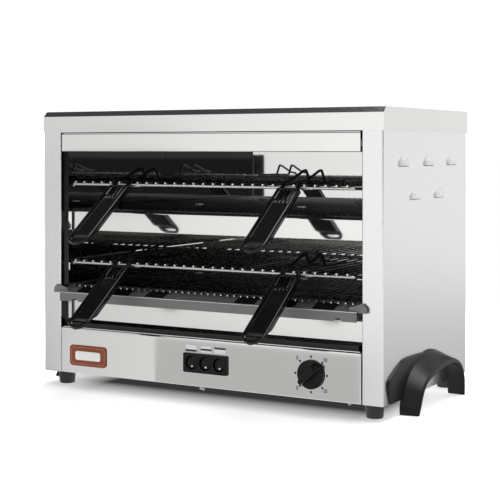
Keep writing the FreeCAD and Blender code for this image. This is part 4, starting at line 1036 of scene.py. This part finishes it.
def round_box(corner, other, radius, segments=3):
    """A box between two corners with rounded edges."""
    build = bmesh.new()
    bmesh.ops.create_cube(build, size=1.0)
    size = [abs(b - a) for a, b in zip(corner, other)]
    middle = [(a + b) / 2 for a, b in zip(corner, other)]
    for vertex in build.verts:
        vertex.co = Vector([m + c * s for m, c, s in zip(middle, vertex.co, size)])
    bmesh.ops.bevel(build, geom=build.edges[:], offset=min(radius, min(size) * 0.49),
                    segments=segments, profile=0.5, affect="EDGES", clamp_overlap=True)
    return mesh_from(build)


def sleeve_mesh(level):
    """The bright half sleeve under the front rod, to the right of a prong."""
    start = PRONG_GAUGE / 2 + PRONG_RADIUS * 1.5
    loops = []
    for x, outer in ((0.0, 3.1), (0.5, 3.45), (18.5, 3.45), (19.0, 3.1)):
        ring = (arc(RACK_FRONT, level, outer * MM, 180, 360, 12)
                + arc(RACK_FRONT, level, 2.3 * MM, 360, 180, 12))
        loops.append([(start + x * MM, y, z) for y, z in ring])
    return painted(loops_mesh(loops), SCREW)


def bracket_mesh(level):
    """Both prongs, the tab and the sleeve of a handle in the middle of the rack."""
    along = Vector((0, -math.cos(HANDLE_SLOPE), -math.sin(HANDLE_SLOPE)))
    upright = Vector((0, -math.sin(HANDLE_SLOPE), math.cos(HANDLE_SLOPE)))
    root = handle_root(level) + upright * PRONG_LIFT
    route = [root + along * 24 * MM, root - along * 18 * MM]
    route += [Vector((0, RACK_FRONT + back * MM, level + up * MM)) for back, up in PRONG_ROUTE]
    parts = []
    for sign in (-1, 1):
        shift = Vector((sign * PRONG_GAUGE / 2, 0, 0))
        path = rounded_path([point + shift for point in route], 3.2 * MM, 6)
        parts.append(painted(tube(path, PRONG_RADIUS, 14), DARK_WIRE))
    half = PRONG_GAUGE / 2 + PRONG_RADIUS
    top = level + PRONG_LEVEL + PRONG_RADIUS
    tab = round_box((-half, RACK_FRONT + 96 * MM, top - 1.2 * MM),
                    (half, RACK_FRONT + 104 * MM, top), 0.4 * MM)
    return combine(parts + [painted(tab, DARK_WIRE), sleeve_mesh(level)])


for rack, level in RACK_LEVEL.items():
    for side, sign in SIDES:
        node = f"{rack}_bracket_{side}"
        put(f"{node}_look", moved(bracket_mesh(level), Matrix.Translation((sign * HANDLE_OFFSET, 0, 0))),
            f"{rack}_rack_assembly", node, 50)

# %% [markdown]
# ## Clips, painted slot shade and a highlight on the fold
#
# Bright clips stand on the guards' wires and tie them to their ledges. The lower guard's frame has slots in
# its sloping front, which look black because nothing behind them is lit, and its front fold shows a thin
# bright line. The slots' shade is painted as thin near black pads, and the fold's line is a painted
# highlight, a pale rod. The shade could be painted on the frame by a mask, but pads have a crisp edge, and
# they cost a few faces.

# %% Clips, shade pads and the fold's highlight
clips = []
for x, y, level in ((-131, 90, 285.6), (64, 91, 285.6), (-177, 161, 161.4), (30, 161, 161.4)):
    clips.append(round_box(((x - 8) * MM, (y - 1) * MM, (level - 1.4) * MM),
                           ((x + 8) * MM, (y + 1) * MM, (level + 2.2) * MM), 0.7 * MM))
put("guard_clips", painted(combine(clips), PALE_STEEL), "cabinet", None)

FRAME_SLOPE = math.radians(19.9)
# Painted shade: thin near black pads over the frame's slots.
shade_pad = round_box((-17.5 * MM, 0, 0), (17.5 * MM, 21.0 * MM, 0.3 * MM), 0.1 * MM)
shade_pads = [moved(shade_pad, Matrix.Translation((x * MM, FRONT - 4.2 * MM, 152.6 * MM))
              @ Matrix.Rotation(FRAME_SLOPE, 4, "X")) for x in (-213, -148, -83, 77, 142, 207)]
put("frame_slot_linings", painted(combine(shade_pads), SLOT_SHADE), "cabinet", None)

# Painted highlight: a thin pale rod along the fold, where the frame's edge catches the light.
fold = tube([(x * MM, FRONT - 6.6 * MM, 151.4 * MM) for x in (-261, 0, 261)], 0.6 * MM, 10)
put("frame_fold", painted(fold, PALE_STEEL), "cabinet", None)

# %% [markdown]
# ## The timer knob
#
# The knob has a round skirt with a small pointer at its rim, and a wedge-shaped
# grip with drawn-in sides. A cylinder with a box on it would be the quick way, but
# its edges would catch light nowhere. The skirt is turned from a profile, and the
# grip is a skin over rounded loops that narrow towards its top. All are drawn flat
# and then stood up against the panel.

# %% Knob
CONTROL_LEVEL = 57.6 * MM
KNOB_X = 186.2 * MM
GRIP_LOOPS = ((3.2, 1.30, 0.96), (4.8, 1.16, 0.935), (6.5, 1.08, 0.91), (10.0, 1.00, 0.87),
              (15.0, 0.93, 0.81), (17.6, 0.90, 0.77), (18.4, 0.86, 0.745), (18.9, 0.78, 0.71),
              (19.0, 0.66, 0.67))


def facing_front(x, z, lift=0.0, turn=0.0):
    """Place a shape that was drawn flat in X and Y so that it stands on the panel."""
    return (Matrix.Translation((x, FACE - lift, z)) @ Matrix.Rotation(math.radians(90), 4, "X")
            @ Matrix.Rotation(math.radians(turn), 4, "Z"))


def knob_mesh():
    """The knob with its pointer up the Y axis, and its skirt on the X and Y plane."""
    radius = 21.0 * MM
    skirt = turned([(radius - 0.5 * MM, 0.0), (radius, 0.6 * MM), (radius, 2.8 * MM),
                    (radius - 0.4 * MM, 3.6 * MM), (radius - 1.4 * MM, 4.0 * MM),
                    (radius * 0.6, 4.6 * MM), (0.2 * MM, 4.8 * MM)], 72)
    loops = []
    for height, wide, long in GRIP_LOOPS:
        loop = []
        for x, y in circle(1.0, 64):
            narrow = 6.6 * MM * (1.0 - 0.28 * y) * (1.0 - 0.16 * (1 - y * y))
            loop.append((narrow * wide * math.copysign(abs(x) ** 0.55, x),
                         radius * long * math.copysign(abs(y) ** 0.8, y), height * MM))
        loops.append(loop)
    nub = round_box((-1.6 * MM, radius - 2 * MM, 0.6 * MM), (1.6 * MM, radius + 1.6 * MM, 3.4 * MM), 0.7 * MM)
    return painted(combine([skirt, loops_mesh(loops), nub]), CONTROL)


put("timer_knob_look", moved(knob_mesh(), facing_front(KNOB_X, CONTROL_LEVEL, 0.5 * MM, 135.0)),
    "timer_knob_body", "timer_knob", 40)

# %% [markdown]
# ## The rockers
#
# Each rocker is a shallow dish that tips about its middle, with a raised white dot
# near its lower edge. A sphere cut from a cylinder would leave a sharp rim. One
# turned profile does better: the rim rises, rounds over, and the dish falls away
# inside by a square law, which gives an even gleam. Every rocker rides on its own
# body, so that it tips alone, and at rest its upper edge is pressed in.

# %% Rockers
ROCKERS_X = 8.6 * MM
ROCKER_PITCH = 24.4 * MM
ROCKER_X = {"left": ROCKERS_X - ROCKER_PITCH, "middle": ROCKERS_X, "right": ROCKERS_X + ROCKER_PITCH}
REST_TILT = 8.0


def rocker_mesh():
    """A shallow dish with a white dot, about the rocker's own middle."""
    radius = 9.6 * MM
    dish = radius - 1.9 * MM
    profile = [(radius - 0.6 * MM, -3.0 * MM), (radius, -2.4 * MM), (radius, 1.4 * MM),
               (radius - 0.3 * MM, 2.3 * MM), (radius - 1.1 * MM, 2.9 * MM), (dish, 2.9 * MM)]
    for i in range(1, 9):
        share = 1 - i / 8
        profile.append((max(dish * share, 0.05 * MM), (2.9 - 1.1 * (1 - share ** 2)) * MM))
    cap = painted(turned(profile, 64), CONTROL)
    dot = painted(turned([(1.8 * MM, 1.7 * MM), (1.8 * MM, 2.6 * MM), (1.4 * MM, 2.95 * MM),
                          (0.05 * MM, 3.15 * MM)], 24), PALE)
    dot.transform(Matrix.Translation((0, -6.1 * MM, -0.3 * MM)))
    return combine([cap, dot])


for name, x in ROCKER_X.items():
    place = (Matrix.Translation((x, FACE + 3 * MM, CONTROL_LEVEL))
             @ Matrix.Rotation(math.radians(90 - REST_TILT), 4, "X"))
    put(f"rocker_{name}_look", moved(rocker_mesh(), place), f"rocker_{name}_body", f"rocker_{name}",
        40)

# %% [markdown]
# ## The rockers' bezel
#
# The three rockers sit in one moulded bezel: a flange that lies on the panel, a
# smaller block behind it, and three round wells. The block could be modelled round
# the wells face by face. Cutting it as a miller would is simpler: a blank, a step
# taken off all round its rear, then three bores whose edges are broken.

# %% Bezel
BEZEL_DEEP = 11.4 * MM


def round_rectangle(width, height, radius, steps=6):
    """The outline of a rectangle with round corners, about the origin."""
    points = []
    for x, y, start in ((1, 1, 0), (-1, 1, 90), (-1, -1, 180), (1, -1, 270)):
        points += arc(x * (width / 2 - radius), y * (height / 2 - radius), radius, start, start + 90, steps)
    return points


def sunk(mesh, depth):
    """The same mesh, lowered along Z."""
    return moved(mesh, Matrix.Translation((0, 0, -depth)))


blank = sunk(prism(round_rectangle(78 * MM, 29.5 * MM, 2.4 * MM), 14.0 * MM), BEZEL_DEEP)
block = sunk(prism(round_rectangle(73.2 * MM, 24.7 * MM, 1 * MM), 30 * MM), 10 * MM)
slab = prism(round_rectangle(90 * MM, 40 * MM, 1 * MM), BEZEL_DEEP)
step_cut = sunk(carved(slab, block), BEZEL_DEEP)
bores = [prism(circle(10.3 * MM, 64, x - ROCKERS_X), 40 * MM) for x in ROCKER_X.values()]
wells = sunk(combine(bores), 20 * MM)
bezel = painted(carved(carved(blank, step_cut), wells, 0.55 * MM, 50.0), CONTROL)
put("switch_bezel_look", moved(bezel, facing_front(ROCKERS_X, CONTROL_LEVEL)), "cabinet", "switch_bezel",
    40)

# %% [markdown]
# ## The printed marks
#
# Over each rocker is a silver field with a dark bar low, in the middle or high. Such
# print could be an image on the panel. Thin raised shapes stay sharp in a close-up,
# and they come through an export as geometry. Each layer stands a few hundredths of
# a millimetre prouder than the one under it, so that none flickers.

# %% Rocker marks
PRINT_SILVER = steel("print_silver", (0.86, 0.86, 0.85), 0.3)


def label(width, height, radius, thick, material, steps=6, bevel=0.0):
    """A thin flat shape with round corners, about the origin, by its millimetres."""
    outline = round_rectangle(width * MM, height * MM, radius * MM, steps)
    return painted(prism(outline, thick * MM, bevel * MM), material)


marks = []
for x, bar_level in zip((-17.4, 9.3, 33.6), (-3.3, -0.6, 3.0)):
    bar = label(19.6, 2.9, 0.2, 0.15, INK, 2)
    bar.transform(Matrix.Translation((0, bar_level * MM, 0)))
    layers = [label(20.4, 10.4, 0.5, 0.08, GREY_INK, 2), label(19.6, 9.6, 0.3, 0.11, PRINT_SILVER, 2), bar]
    marks.append(moved(combine(layers), facing_front(x * MM, 79.2 * MM)))
print(len(marks), "printed fields over the rockers")

# %% [markdown]
# ## The timer's scale
#
# Eight dots stand round the knob, with a plain number outside every other one. They
# could be printed as one image. The dots are one small disc on the points of a
# circle, so a tree grows them. The numbers are text turned into a mesh, a little
# fattened, because thin strokes fade at a distance.

# %% Dial dots


def dial_dots_tree():
    """Round marks, evenly spaced on a circle that faces the front."""
    tree = Repeater("dial_dots")
    count = tree.ask("Count", "Int", 8)
    reach = tree.ask("Circle radius", "Float", 0.025)
    radius = tree.ask("Dot radius", "Float", 0.001)
    thick = tree.ask("Thickness", "Float", 0.0001)
    middle = tree.ask("Middle", "Vector", (0.0, 0.0, 0.0))
    material = tree.ask("Material", "Material")
    ring = tree.node("GeometryNodeMeshCircle", {"Vertices": count, "Radius": reach})
    dot = tree.node("GeometryNodeMeshCylinder", {"Vertices": 20, "Radius": radius, "Depth": thick})
    dots = tree.node("GeometryNodeInstanceOnPoints", {
        "Points": ring.outputs[0], "Instance": dot.outputs[0]})
    upright = tree.node("GeometryNodeTransform", {
        "Geometry": dots.outputs[0], "Translation": middle, "Rotation": (math.pi / 2, 0.0, 0.0)})
    tree.end(upright.outputs[0], material)
    return tree


marks.append(dial_dots_tree().grow({
    "Count": 8, "Circle radius": 25.4 * MM, "Dot radius": 1.75 * MM, "Thickness": 0.16 * MM,
    "Middle": (KNOB_X, FACE, CONTROL_LEVEL), "Material": INK}))
print("the dots have", len(marks[-1].polygons), "faces")

# %% Dial numbers


def number_mesh(text, height):
    """A plain number, centred on the origin."""
    curve = bpy.data.curves.new("number", "FONT")
    curve.body = text
    curve.size = height
    curve.align_x = "CENTER"
    curve.align_y = "CENTER"
    curve.extrude = 0.06 * MM
    curve.offset = 0.18 * MM
    holder = new_object("number", curve)
    mesh = read_back(holder)
    bpy.data.objects.remove(holder)
    return painted(mesh, INK)


for text, angle in (("0", 225.0), ("5", 135.0), ("10", 45.0), ("15", -45.0)):
    x = KNOB_X + 31.5 * MM * math.cos(math.radians(angle))
    z = CONTROL_LEVEL + 31.0 * MM * math.sin(math.radians(angle))
    marks.append(moved(number_mesh(text, 7.0 * MM), facing_front(x, z, 0.02 * MM)))
put("panel_marks", combine(marks), "cabinet", None, 40)

# %% [markdown]
# ## The plate
#
# A painted plate with round corners sits at the left of the panel: rust red, with a
# thin paler line and a blank pale field. The line could be a mask in one material,
# but its round corners would need a formula. So it is a stack of thin labels, like
# the print, and only the plate is thick enough for its bevelled edge to show.

# %% Plate
plate = combine([label(72, 33, 6, 1.5, PLATE, bevel=0.5), label(65, 26.4, 4.4, 1.56, TAN, bevel=0.03),
                 label(64, 25.4, 4.0, 1.6, PLATE, bevel=0.03), label(49, 14, 3.2, 1.66, PALE, bevel=0.03)])
put("front_plate_look", moved(plate, facing_front(-211 * MM, 51.2 * MM)), "cabinet", "front_plate",
    40)

# %% [markdown]
# ## The side arches
#
# A moulded arch stands low on each side, as a bumper and a grip. Seen from the side
# it is a lopsided hoop, and its outer rim hangs lower than its root at the panel. A
# bevelled curve could only sweep one section along one path. Here every section is
# stretched between two curves, the root and the rim, and a thin flange lies against
# the panel round it. The curves are a few points in shares of the arch's length and
# height, with a smooth line drawn through them.

# %% Arch curves
ARCH_FRONT = FRONT + 58.0 * MM
ARCH_LENGTH = 195.0 * MM
ARCH_HEIGHT = 80.0 * MM
ARCH_BASE = 0.8 * MM
FLANGE_BASE = 23.0 * MM
ROOT_CURVE = [(0, 0), (0.0, 0.17), (0.05, 0.45), (0.15, 0.72), (0.30, 0.90), (0.47, 1.0), (0.62, 0.99),
              (0.78, 0.88), (0.92, 0.60), (0.985, 0.30), (1.0, 0)]
RIM_CURVE = [(0.02, 0), (0.06, 0.18), (0.12, 0.42), (0.20, 0.58), (0.32, 0.67), (0.47, 0.73), (0.62, 0.775),
             (0.79, 0.76), (0.92, 0.62), (0.985, 0.36), (0.99, 0)]
FLANGE_CURVE = [(-0.19, 0.0), (-0.23, 0.45), (-0.18, 0.66), (0.01, 0.93), (0.13, 1.0), (0.40, 0.985),
                (0.60, 0.95), (0.78, 0.84), (0.94, 0.62), (1.01, 0.40), (1.01, 0.0)]


def evenly(curve, count):
    """Points spaced evenly along a line through many others."""
    travelled = np.concatenate([[0], np.cumsum(np.linalg.norm(np.diff(curve, axis=0), axis=1))])
    wanted = np.linspace(0, travelled[-1], count)
    return np.stack([np.interp(wanted, travelled, curve[:, k]) for k in range(2)], axis=1)


def arch_curve(shares, base, count=96):
    """A smooth curve of the arch in Y and Z, through its shares."""
    points = [np.array((ARCH_FRONT + ARCH_LENGTH * a, base + (ARCH_HEIGHT - base) * b)) for a, b in shares]
    points = [2 * points[0] - points[1]] + points + [2 * points[-1] - points[-2]]
    curve = []
    for a, b, c, d in zip(points, points[1:], points[2:], points[3:]):
        for share in np.linspace(0, 1, 16, endpoint=False):
            curve.append(0.5 * (2 * b + (c - a) * share + (2 * a - 5 * b + 4 * c - d) * share ** 2
                                + (3 * b - a - 3 * c + d) * share ** 3))
    return evenly(np.array(curve + [points[-2]]), count)


def inwards(curve, wall):
    """The curve moved in by a wall, with level feet."""
    ahead = np.gradient(curve, axis=0)
    ahead /= np.linalg.norm(ahead, axis=1)[:, None]
    result = curve + np.stack([ahead[:, 1], -ahead[:, 0]], axis=1) * wall
    result[0] = (curve[0][0] + wall, curve[0][1])
    result[-1] = (curve[-1][0] - wall, curve[-1][1])
    return result


root = arch_curve(ROOT_CURVE, ARCH_BASE)
rim = arch_curve(RIM_CURVE, ARCH_BASE)
crowns = [curve[:, 1].max() / MM for curve in (root, rim)]
print(f"the arch is {crowns[0]:.0f} mm high at the panel and {crowns[1]:.0f} at its rim")

# %% Arch band
ARCH_WALL = 6.5 * MM
ARCH_OUT = 27.0 * MM
ARCH_PLANE = SIDE_FACE + 0.05 * MM


def arch_band():
    """The hoop: a rounded section, stretched from the root curve to the rim curve."""
    soft = 2.0 * MM
    flat = ARCH_OUT - soft
    profile = [(0.0, 0.0)] + [(share * flat, 0.0) for share in np.linspace(0.15, 1.0, 12)]
    profile += arc(flat, soft, soft, -90, 0)[1:] + arc(flat, ARCH_WALL - soft, soft, 0, 90)
    profile += [(share * flat, ARCH_WALL) for share in np.linspace(0.9, 0.0, 8)]
    loops = []
    for index in range(len(root)):
        before = max(index - 1, 0)
        after = min(index + 1, len(root) - 1)
        loop = []
        for x, depth in profile:
            share = x / ARCH_OUT
            ahead = (root[after] - root[before]) * (1 - share) + (rim[after] - rim[before]) * share
            ahead /= np.linalg.norm(ahead)
            point = root[index] * (1 - share) + rim[index] * share + np.array([ahead[1], -ahead[0]]) * depth
            loop.append((ARCH_PLANE + x, point[0], max(point[1], ARCH_BASE)))
        loops.append(loop)
    return loops_mesh(loops)


band = arch_band()
print("the band has", len(band.polygons), "faces")

# %% Arch flange
FLANGE_THICK = 3.5 * MM
FLANGE_EDGE = 1.6 * MM


def arch_flange():
    """The thin flange round the arch, against the panel, with a rounded outer edge."""
    outer = arch_curve(FLANGE_CURVE, FLANGE_BASE, 80)
    hole = inwards(root, ARCH_WALL / 2)
    hole = hole[hole[:, 1] > FLANGE_BASE]
    hole = evenly(np.concatenate([[(hole[0][0], FLANGE_BASE)], hole, [(hole[-1][0], FLANGE_BASE)]]), 80)
    shrunk = inwards(outer, FLANGE_EDGE)
    shrunk[:, 1] = np.maximum(shrunk[:, 1], FLANGE_BASE)
    face = SIDE_FACE + FLANGE_THICK
    loops = []
    for a, b, c in zip(outer, shrunk, hole):
        loop = [(ARCH_PLANE, *a), (face - FLANGE_EDGE, *a)]
        for turn in np.radians((22.5, 45.0, 67.5, 90.0)):
            mixed = a + (b - a) * (1 - math.cos(turn))
            loop.append((face - FLANGE_EDGE + FLANGE_EDGE * math.sin(turn), *mixed))
        loops.append(loop + [(face, *c), (ARCH_PLANE, *c)])
    return loops_mesh(loops)


right_arch = painted(combine([band, arch_flange()]), ARCH)
put("side_arch_right_look", right_arch.copy(), "cabinet", "side_arch_right", 50)
put("side_arch_left_look", moved(right_arch, Matrix.Scale(-1, 4, (1, 0, 0))), "cabinet", "side_arch_left",
    50)

# %% [markdown]
# ## Screws
#
# Pan-head screws with a cross recess hold the rear panel and the lid, and two more
# show under the control panel. Each could be modelled in its place, but one is
# enough: it is turned and its cross is cut, and a tree sets it on every place. The
# tree turns each copy by chance about Y, which is the axis of the screws in the
# rear, because no two screws on a real case line up.

# %% Screw


def screw_mesh():
    """A screw whose head faces up the Z axis, with its top at the origin."""
    head = 4.0 * MM
    profile = [(1.6 * MM, -7.0 * MM), (1.9 * MM, -6.6 * MM), (1.9 * MM, -2.5 * MM), (head, -2.5 * MM),
               (head, -1.9 * MM), (head * 0.93, -1.1 * MM), (head * 0.78, -0.5 * MM),
               (head * 0.5, -0.12 * MM), (0.05 * MM, 0.0)]
    arm = round_box((-2.3 * MM, -0.5 * MM, -1.5 * MM), (2.3 * MM, 0.5 * MM, 1.0 * MM), 0.1 * MM, 1)
    slotted = carved(turned(profile, 32), arm)
    return carved(slotted, moved(arm, Matrix.Rotation(math.radians(90), 4, "Z")))


def scatter_tree():
    """One shape at each point of the base mesh, turned about Y by chance."""
    tree = Repeater("scatter")
    points = tree.ask("Points", "Geometry")
    shape = tree.ask("Shape", "Object")
    material = tree.ask("Material", "Material")
    info = tree.node("GeometryNodeObjectInfo", {"Object": shape})
    chance = tree.node("FunctionNodeRandomValue", {"Min": 0.0, "Max": math.pi, "Seed": 7}, data_type="FLOAT")
    turn = tree.vector(y=next(socket for socket in chance.outputs if socket.enabled))
    copies = tree.node("GeometryNodeInstanceOnPoints", {
        "Points": points, "Instance": info.outputs["Geometry"], "Rotation": turn})
    tree.end(copies.outputs[0], material)
    return tree


SCATTER = scatter_tree()
print("one screw has", len(screw_mesh().polygons), "faces")

# %% Set the screws
REAR_FACE = 213.3 * MM


def scattered(angle, places):
    """Screws at some places, tipped about X by an angle, as one mesh."""
    model = new_object("shape", moved(screw_mesh(), Matrix.Rotation(math.radians(angle), 4, "X")))
    points = bpy.data.meshes.new("places")
    points.from_pydata(places, [], [])
    grown = SCATTER.grow({"Shape": model, "Material": SCREW}, points)
    bpy.data.objects.remove(model)
    return grown


case_places = [(x * MM, REAR_FACE, z * MM) for x in (-288.8, 288.8) for z in (62.0, 220.0, 390.0)]
case_places += [(x * MM, high("case_screws", 1), 419.3 * MM) for x in (-200, 0, 200)]
put("case_screws_look", scattered(-90, case_places), "cabinet", "case_screws", 40)
pan_places = [(x * MM, FACE + 7 * MM, low("base_pan", 2) - 0.4 * MM) for x in (-4.0, 242.0)]
put("pan_screws", scattered(180, pan_places), "cabinet", None, 40)

# %% [markdown]
# ## The floor
#
# The toaster stands on white paper that runs out of sight. Straight to the eye the paper takes the shadow,
# carries a painted shadow, near black, under the pan and just before its front, and fades into the white
# room. In the steel it shows as large grey and white sheets, laid so that, from the lens, the panel's right
# two thirds mirror the grey one and the posts mirror a slightly darker strip. Real sheets could be laid down,
# but they would be seen beside the toaster. The paper's glow is split by Light Path instead, so that what the
# steel mirrors differs from what the eye sees. The lens's place is only a number in that pattern, and the
# pattern stays where it is from any other view.

# %% Floor
LENS_PLACE = (1.0185, FRONT - 1.6174, 0.381)
FLOOR_REACH = 40.0
PANEL_START = -264.0 * MM
PANEL_END = 263.5 * MM
GREY_START = -83.0 * MM
SHEET_EDGE = 3.0 * MM
CORNERS = ((-1, -1), (1, -1), (1, 1), (-1, 1))


def mirrored_level(across, along, distance):
    """How bright the paper is where the steel mirrors it."""
    crossing = (LENS_PLACE[0] + (across - LENS_PLACE[0]) * (FACE - LENS_PLACE[1])
                / (2 * FACE - LENS_PLACE[1] - along))
    ahead = along.above(-0.8, 0.5) * (1.0 - along.above(-0.1, 0.02))
    grey = crossing.between(GREY_START, PANEL_END, SHEET_EDGE) * along.between(-0.62, -0.13, 0.02)
    posts = 1.0 - crossing.between(PANEL_START, PANEL_END, SHEET_EDGE)
    front = (0.93 + crossing * 0.6) * (1.0 - ahead * posts * 0.25) * (1.0 - grey) + grey * 0.6
    beside = 0.93 - across.above(0.32, 0.04) * (1.0 - distance.above(1.35, 1.9)) * 0.38
    behind = along.above(-0.1, 0.02)
    return (front * (1.0 - behind) + beside * behind) * (1.0 - distance.above(6.2, 1.2)) + 0.02


def sheet(name, corners, finish):
    """A flat sheet of the studio."""
    mesh = bpy.data.meshes.new(name)
    mesh.from_pydata(corners, [], [(0, 1, 2, 3)])
    mesh.materials.append(finish.material)
    return new_object(name, mesh)


def floor_finish():
    """White paper: it takes the shadow, carries a painted shadow under the toaster, fades into the white
    room, and glows in the steel.
    """
    finish = Finish("floor_paper", (0.8, 0.8, 0.8), Roughness=0.9)
    across = finish.axis("X")
    along = finish.axis("Y")
    # under is a painted shadow: a near black patch of the paper's colour and glow, under the pan and just
    # before its front.
    under = (across.above(-0.265, 0.10) * (1.0 - across.above(0.275, 0.05))
             * along.above(-0.100, 0.10) * (1.0 - along.above(0.08, 0.12)))
    grain = finish.mix(finish.noise(400.0, detail=2.0), (0.79, 0.79, 0.79), (0.81, 0.81, 0.81))
    finish.feed("Base Color", finish.mix(under, grain, (0.02, 0.02, 0.02)))
    # The glow lifts the open paper to white and is nearly nothing in the painted shadow.
    lift = finish.glow(finish.mix(under, (0.62, 0.62, 0.62), (0.006, 0.006, 0.006)))
    near = finish.node("ShaderNodeAddShader", {0: finish.shader.outputs[0], 1: lift})
    squares = across * across + along * along
    distance = squares.join("SQRT", squares)
    seen = finish.node("ShaderNodeMixShader", {
        0: distance.above(0.95, 0.7), 1: near.outputs[0], 2: finish.glow((1, 1, 1, 1))})
    mirrored = finish.glow(finish.mix(mirrored_level(across, along, distance) / 2.0, (0, 0, 0), (2, 2, 2)))
    path = finish.node("ShaderNodeLightPath")
    final = finish.node("ShaderNodeMixShader", {
        0: path.outputs["Is Glossy Ray"], 1: seen.outputs[0], 2: mirrored})
    finish.tree.links.new(final.outputs[0], finish.output.inputs["Surface"])
    return finish


floor = sheet("floor", [(x * FLOOR_REACH, y * FLOOR_REACH, 0) for x, y in CORNERS], floor_finish())
print("the paper's finish has", len(floor.data.materials[0].node_tree.nodes), "nodes")

# %% [markdown]
# ## The studio's cards
#
# Polished steel has hardly a colour of its own: it shows what stands round it. In a
# bare room it turns black. A photo of a room could surround it, but its windows and
# lamps would show. So plain cards are put up: a broad white wall in front on the
# left, with a small dark board before it, a wall behind on the right, and four
# screens high up, for what faces upwards. The camera doesn't see them and they cast
# no shadow. The four high ones light nothing either, and are only mirrored.

# %% Cards


def card(name, centre, towards, width, height, brightness, slant=0.0, lights=True):
    """A bright upright card; slant is how its brightness changes across, by metre."""
    finish = Finish(name + "_glow")
    if slant:
        level = brightness + finish.axis("X") * slant
        shining = finish.glow(finish.mix(level / 8.0, (0, 0, 0), (8, 8, 8)))
    else:
        shining = finish.glow((1, 1, 1, 1), brightness)
    finish.tree.links.new(shining, finish.output.inputs["Surface"])
    board = sheet(name, [(x * width / 2, 0, z * height / 2) for x, z in CORNERS], finish)
    board.location = centre
    board.rotation_euler = (Vector(towards) - Vector(centre)).to_track_quat("-Y", "Z").to_euler()
    board.visible_camera = False
    board.visible_shadow = False
    board.visible_diffuse = lights
    print(f"{name}: {width} by {height} m, level {brightness}")


TOASTER = (0.0, 0.0, 0.4)
card("front_left_wall", (-1.6, -2.6, 0.9), (0.0, 0.0, 0.3), 2.6, 2.6, 1.05, -0.25)
card("overhead_card", (0.65, 0.35, 2.4), (0.65, 0.35, 0.0), 2.0, 2.2, 6.0, lights=False)
card("front_right_screen", (2.0, -3.0, 2.0), TOASTER, 4.0, 2.4, 0.8, lights=False)
card("left_screen", (-3.0, -1.9, 2.6), TOASTER, 3.2, 2.2, 0.5, lights=False)
card("back_left_screen", (-2.2, 2.6, 2.4), TOASTER, 3.6, 2.2, 0.6, lights=False)
card("dark_board", (-1.72, -2.34, 0.2575), (0.0, 0.0, 0.2575), 0.40, 0.195, 0.015)
card("back_right_wall", (1.9, 2.6, 0.9), (0.2, 0.0, 0.3), 3.0, 2.6, 1.0)

# %% [markdown]
# ## The lamp and the room
#
# One broad lamp above and a little behind gives a soft shadow under the front, which the painted shadow on
# the paper deepens. A small lamp would draw a hard one. The room is white to the eye and nearly dark to
# everything else. A white room all round would wash the steel out: its edges show because it mirrors
# something dark beside the cards.

# %% Lamp and room
LAMP_PLACE = Vector((0.15, 0.75, 2.5))
LAMP_TARGET = Vector((0.0, 0.0, 0.1))

light = bpy.data.lights.new("top_light", "AREA")
light.shape = "SQUARE"
light.size = 2.4
light.energy = 120.0
lamp = new_object("top_light", light)
lamp.location = LAMP_PLACE
lamp.rotation_euler = (LAMP_TARGET - LAMP_PLACE).to_track_quat("-Z", "Y").to_euler()
lamp.visible_glossy = False

world = bpy.data.worlds.new("room")
bpy.context.scene.world = world
world.use_nodes = True
room = Nodes(world.node_tree)
white = room.node("ShaderNodeBackground", {"Color": (1, 1, 1, 1), "Strength": 1.05})
dim = room.node("ShaderNodeBackground", {"Color": (1, 1, 1, 1), "Strength": 0.06})
path = room.node("ShaderNodeLightPath")
blend = room.node("ShaderNodeMixShader", {
    0: path.outputs["Is Camera Ray"], 1: dim.outputs[0], 2: white.outputs[0]})
room.node("ShaderNodeOutputWorld", {"Surface": blend.outputs[0]})
print(f"one lamp of {light.energy:.0f} W, {light.size:.1f} m wide")

# %% [markdown]
# ## The camera
#
# It stands 30 degrees to the right of the front, a little below the lid's height,
# and looks level, so that upright edges stay upright. Tipping it down would centre
# the toaster but make its sides lean together. The lens is shifted instead, as on a
# view camera.

# %% Camera
lens = bpy.data.cameras.new("camera")
lens.lens = 91.43
lens.sensor_width = 36.0
lens.shift_y = -0.203
camera = new_object("camera", lens)
camera.location = LENS_PLACE
camera.rotation_euler = (math.radians(90.0), 0.0, math.radians(29.965))
bpy.context.scene.camera = camera
bpy.context.scene.view_settings.view_transform = "Standard"
print(f"the camera is {camera.location.length:.2f} m from the origin")
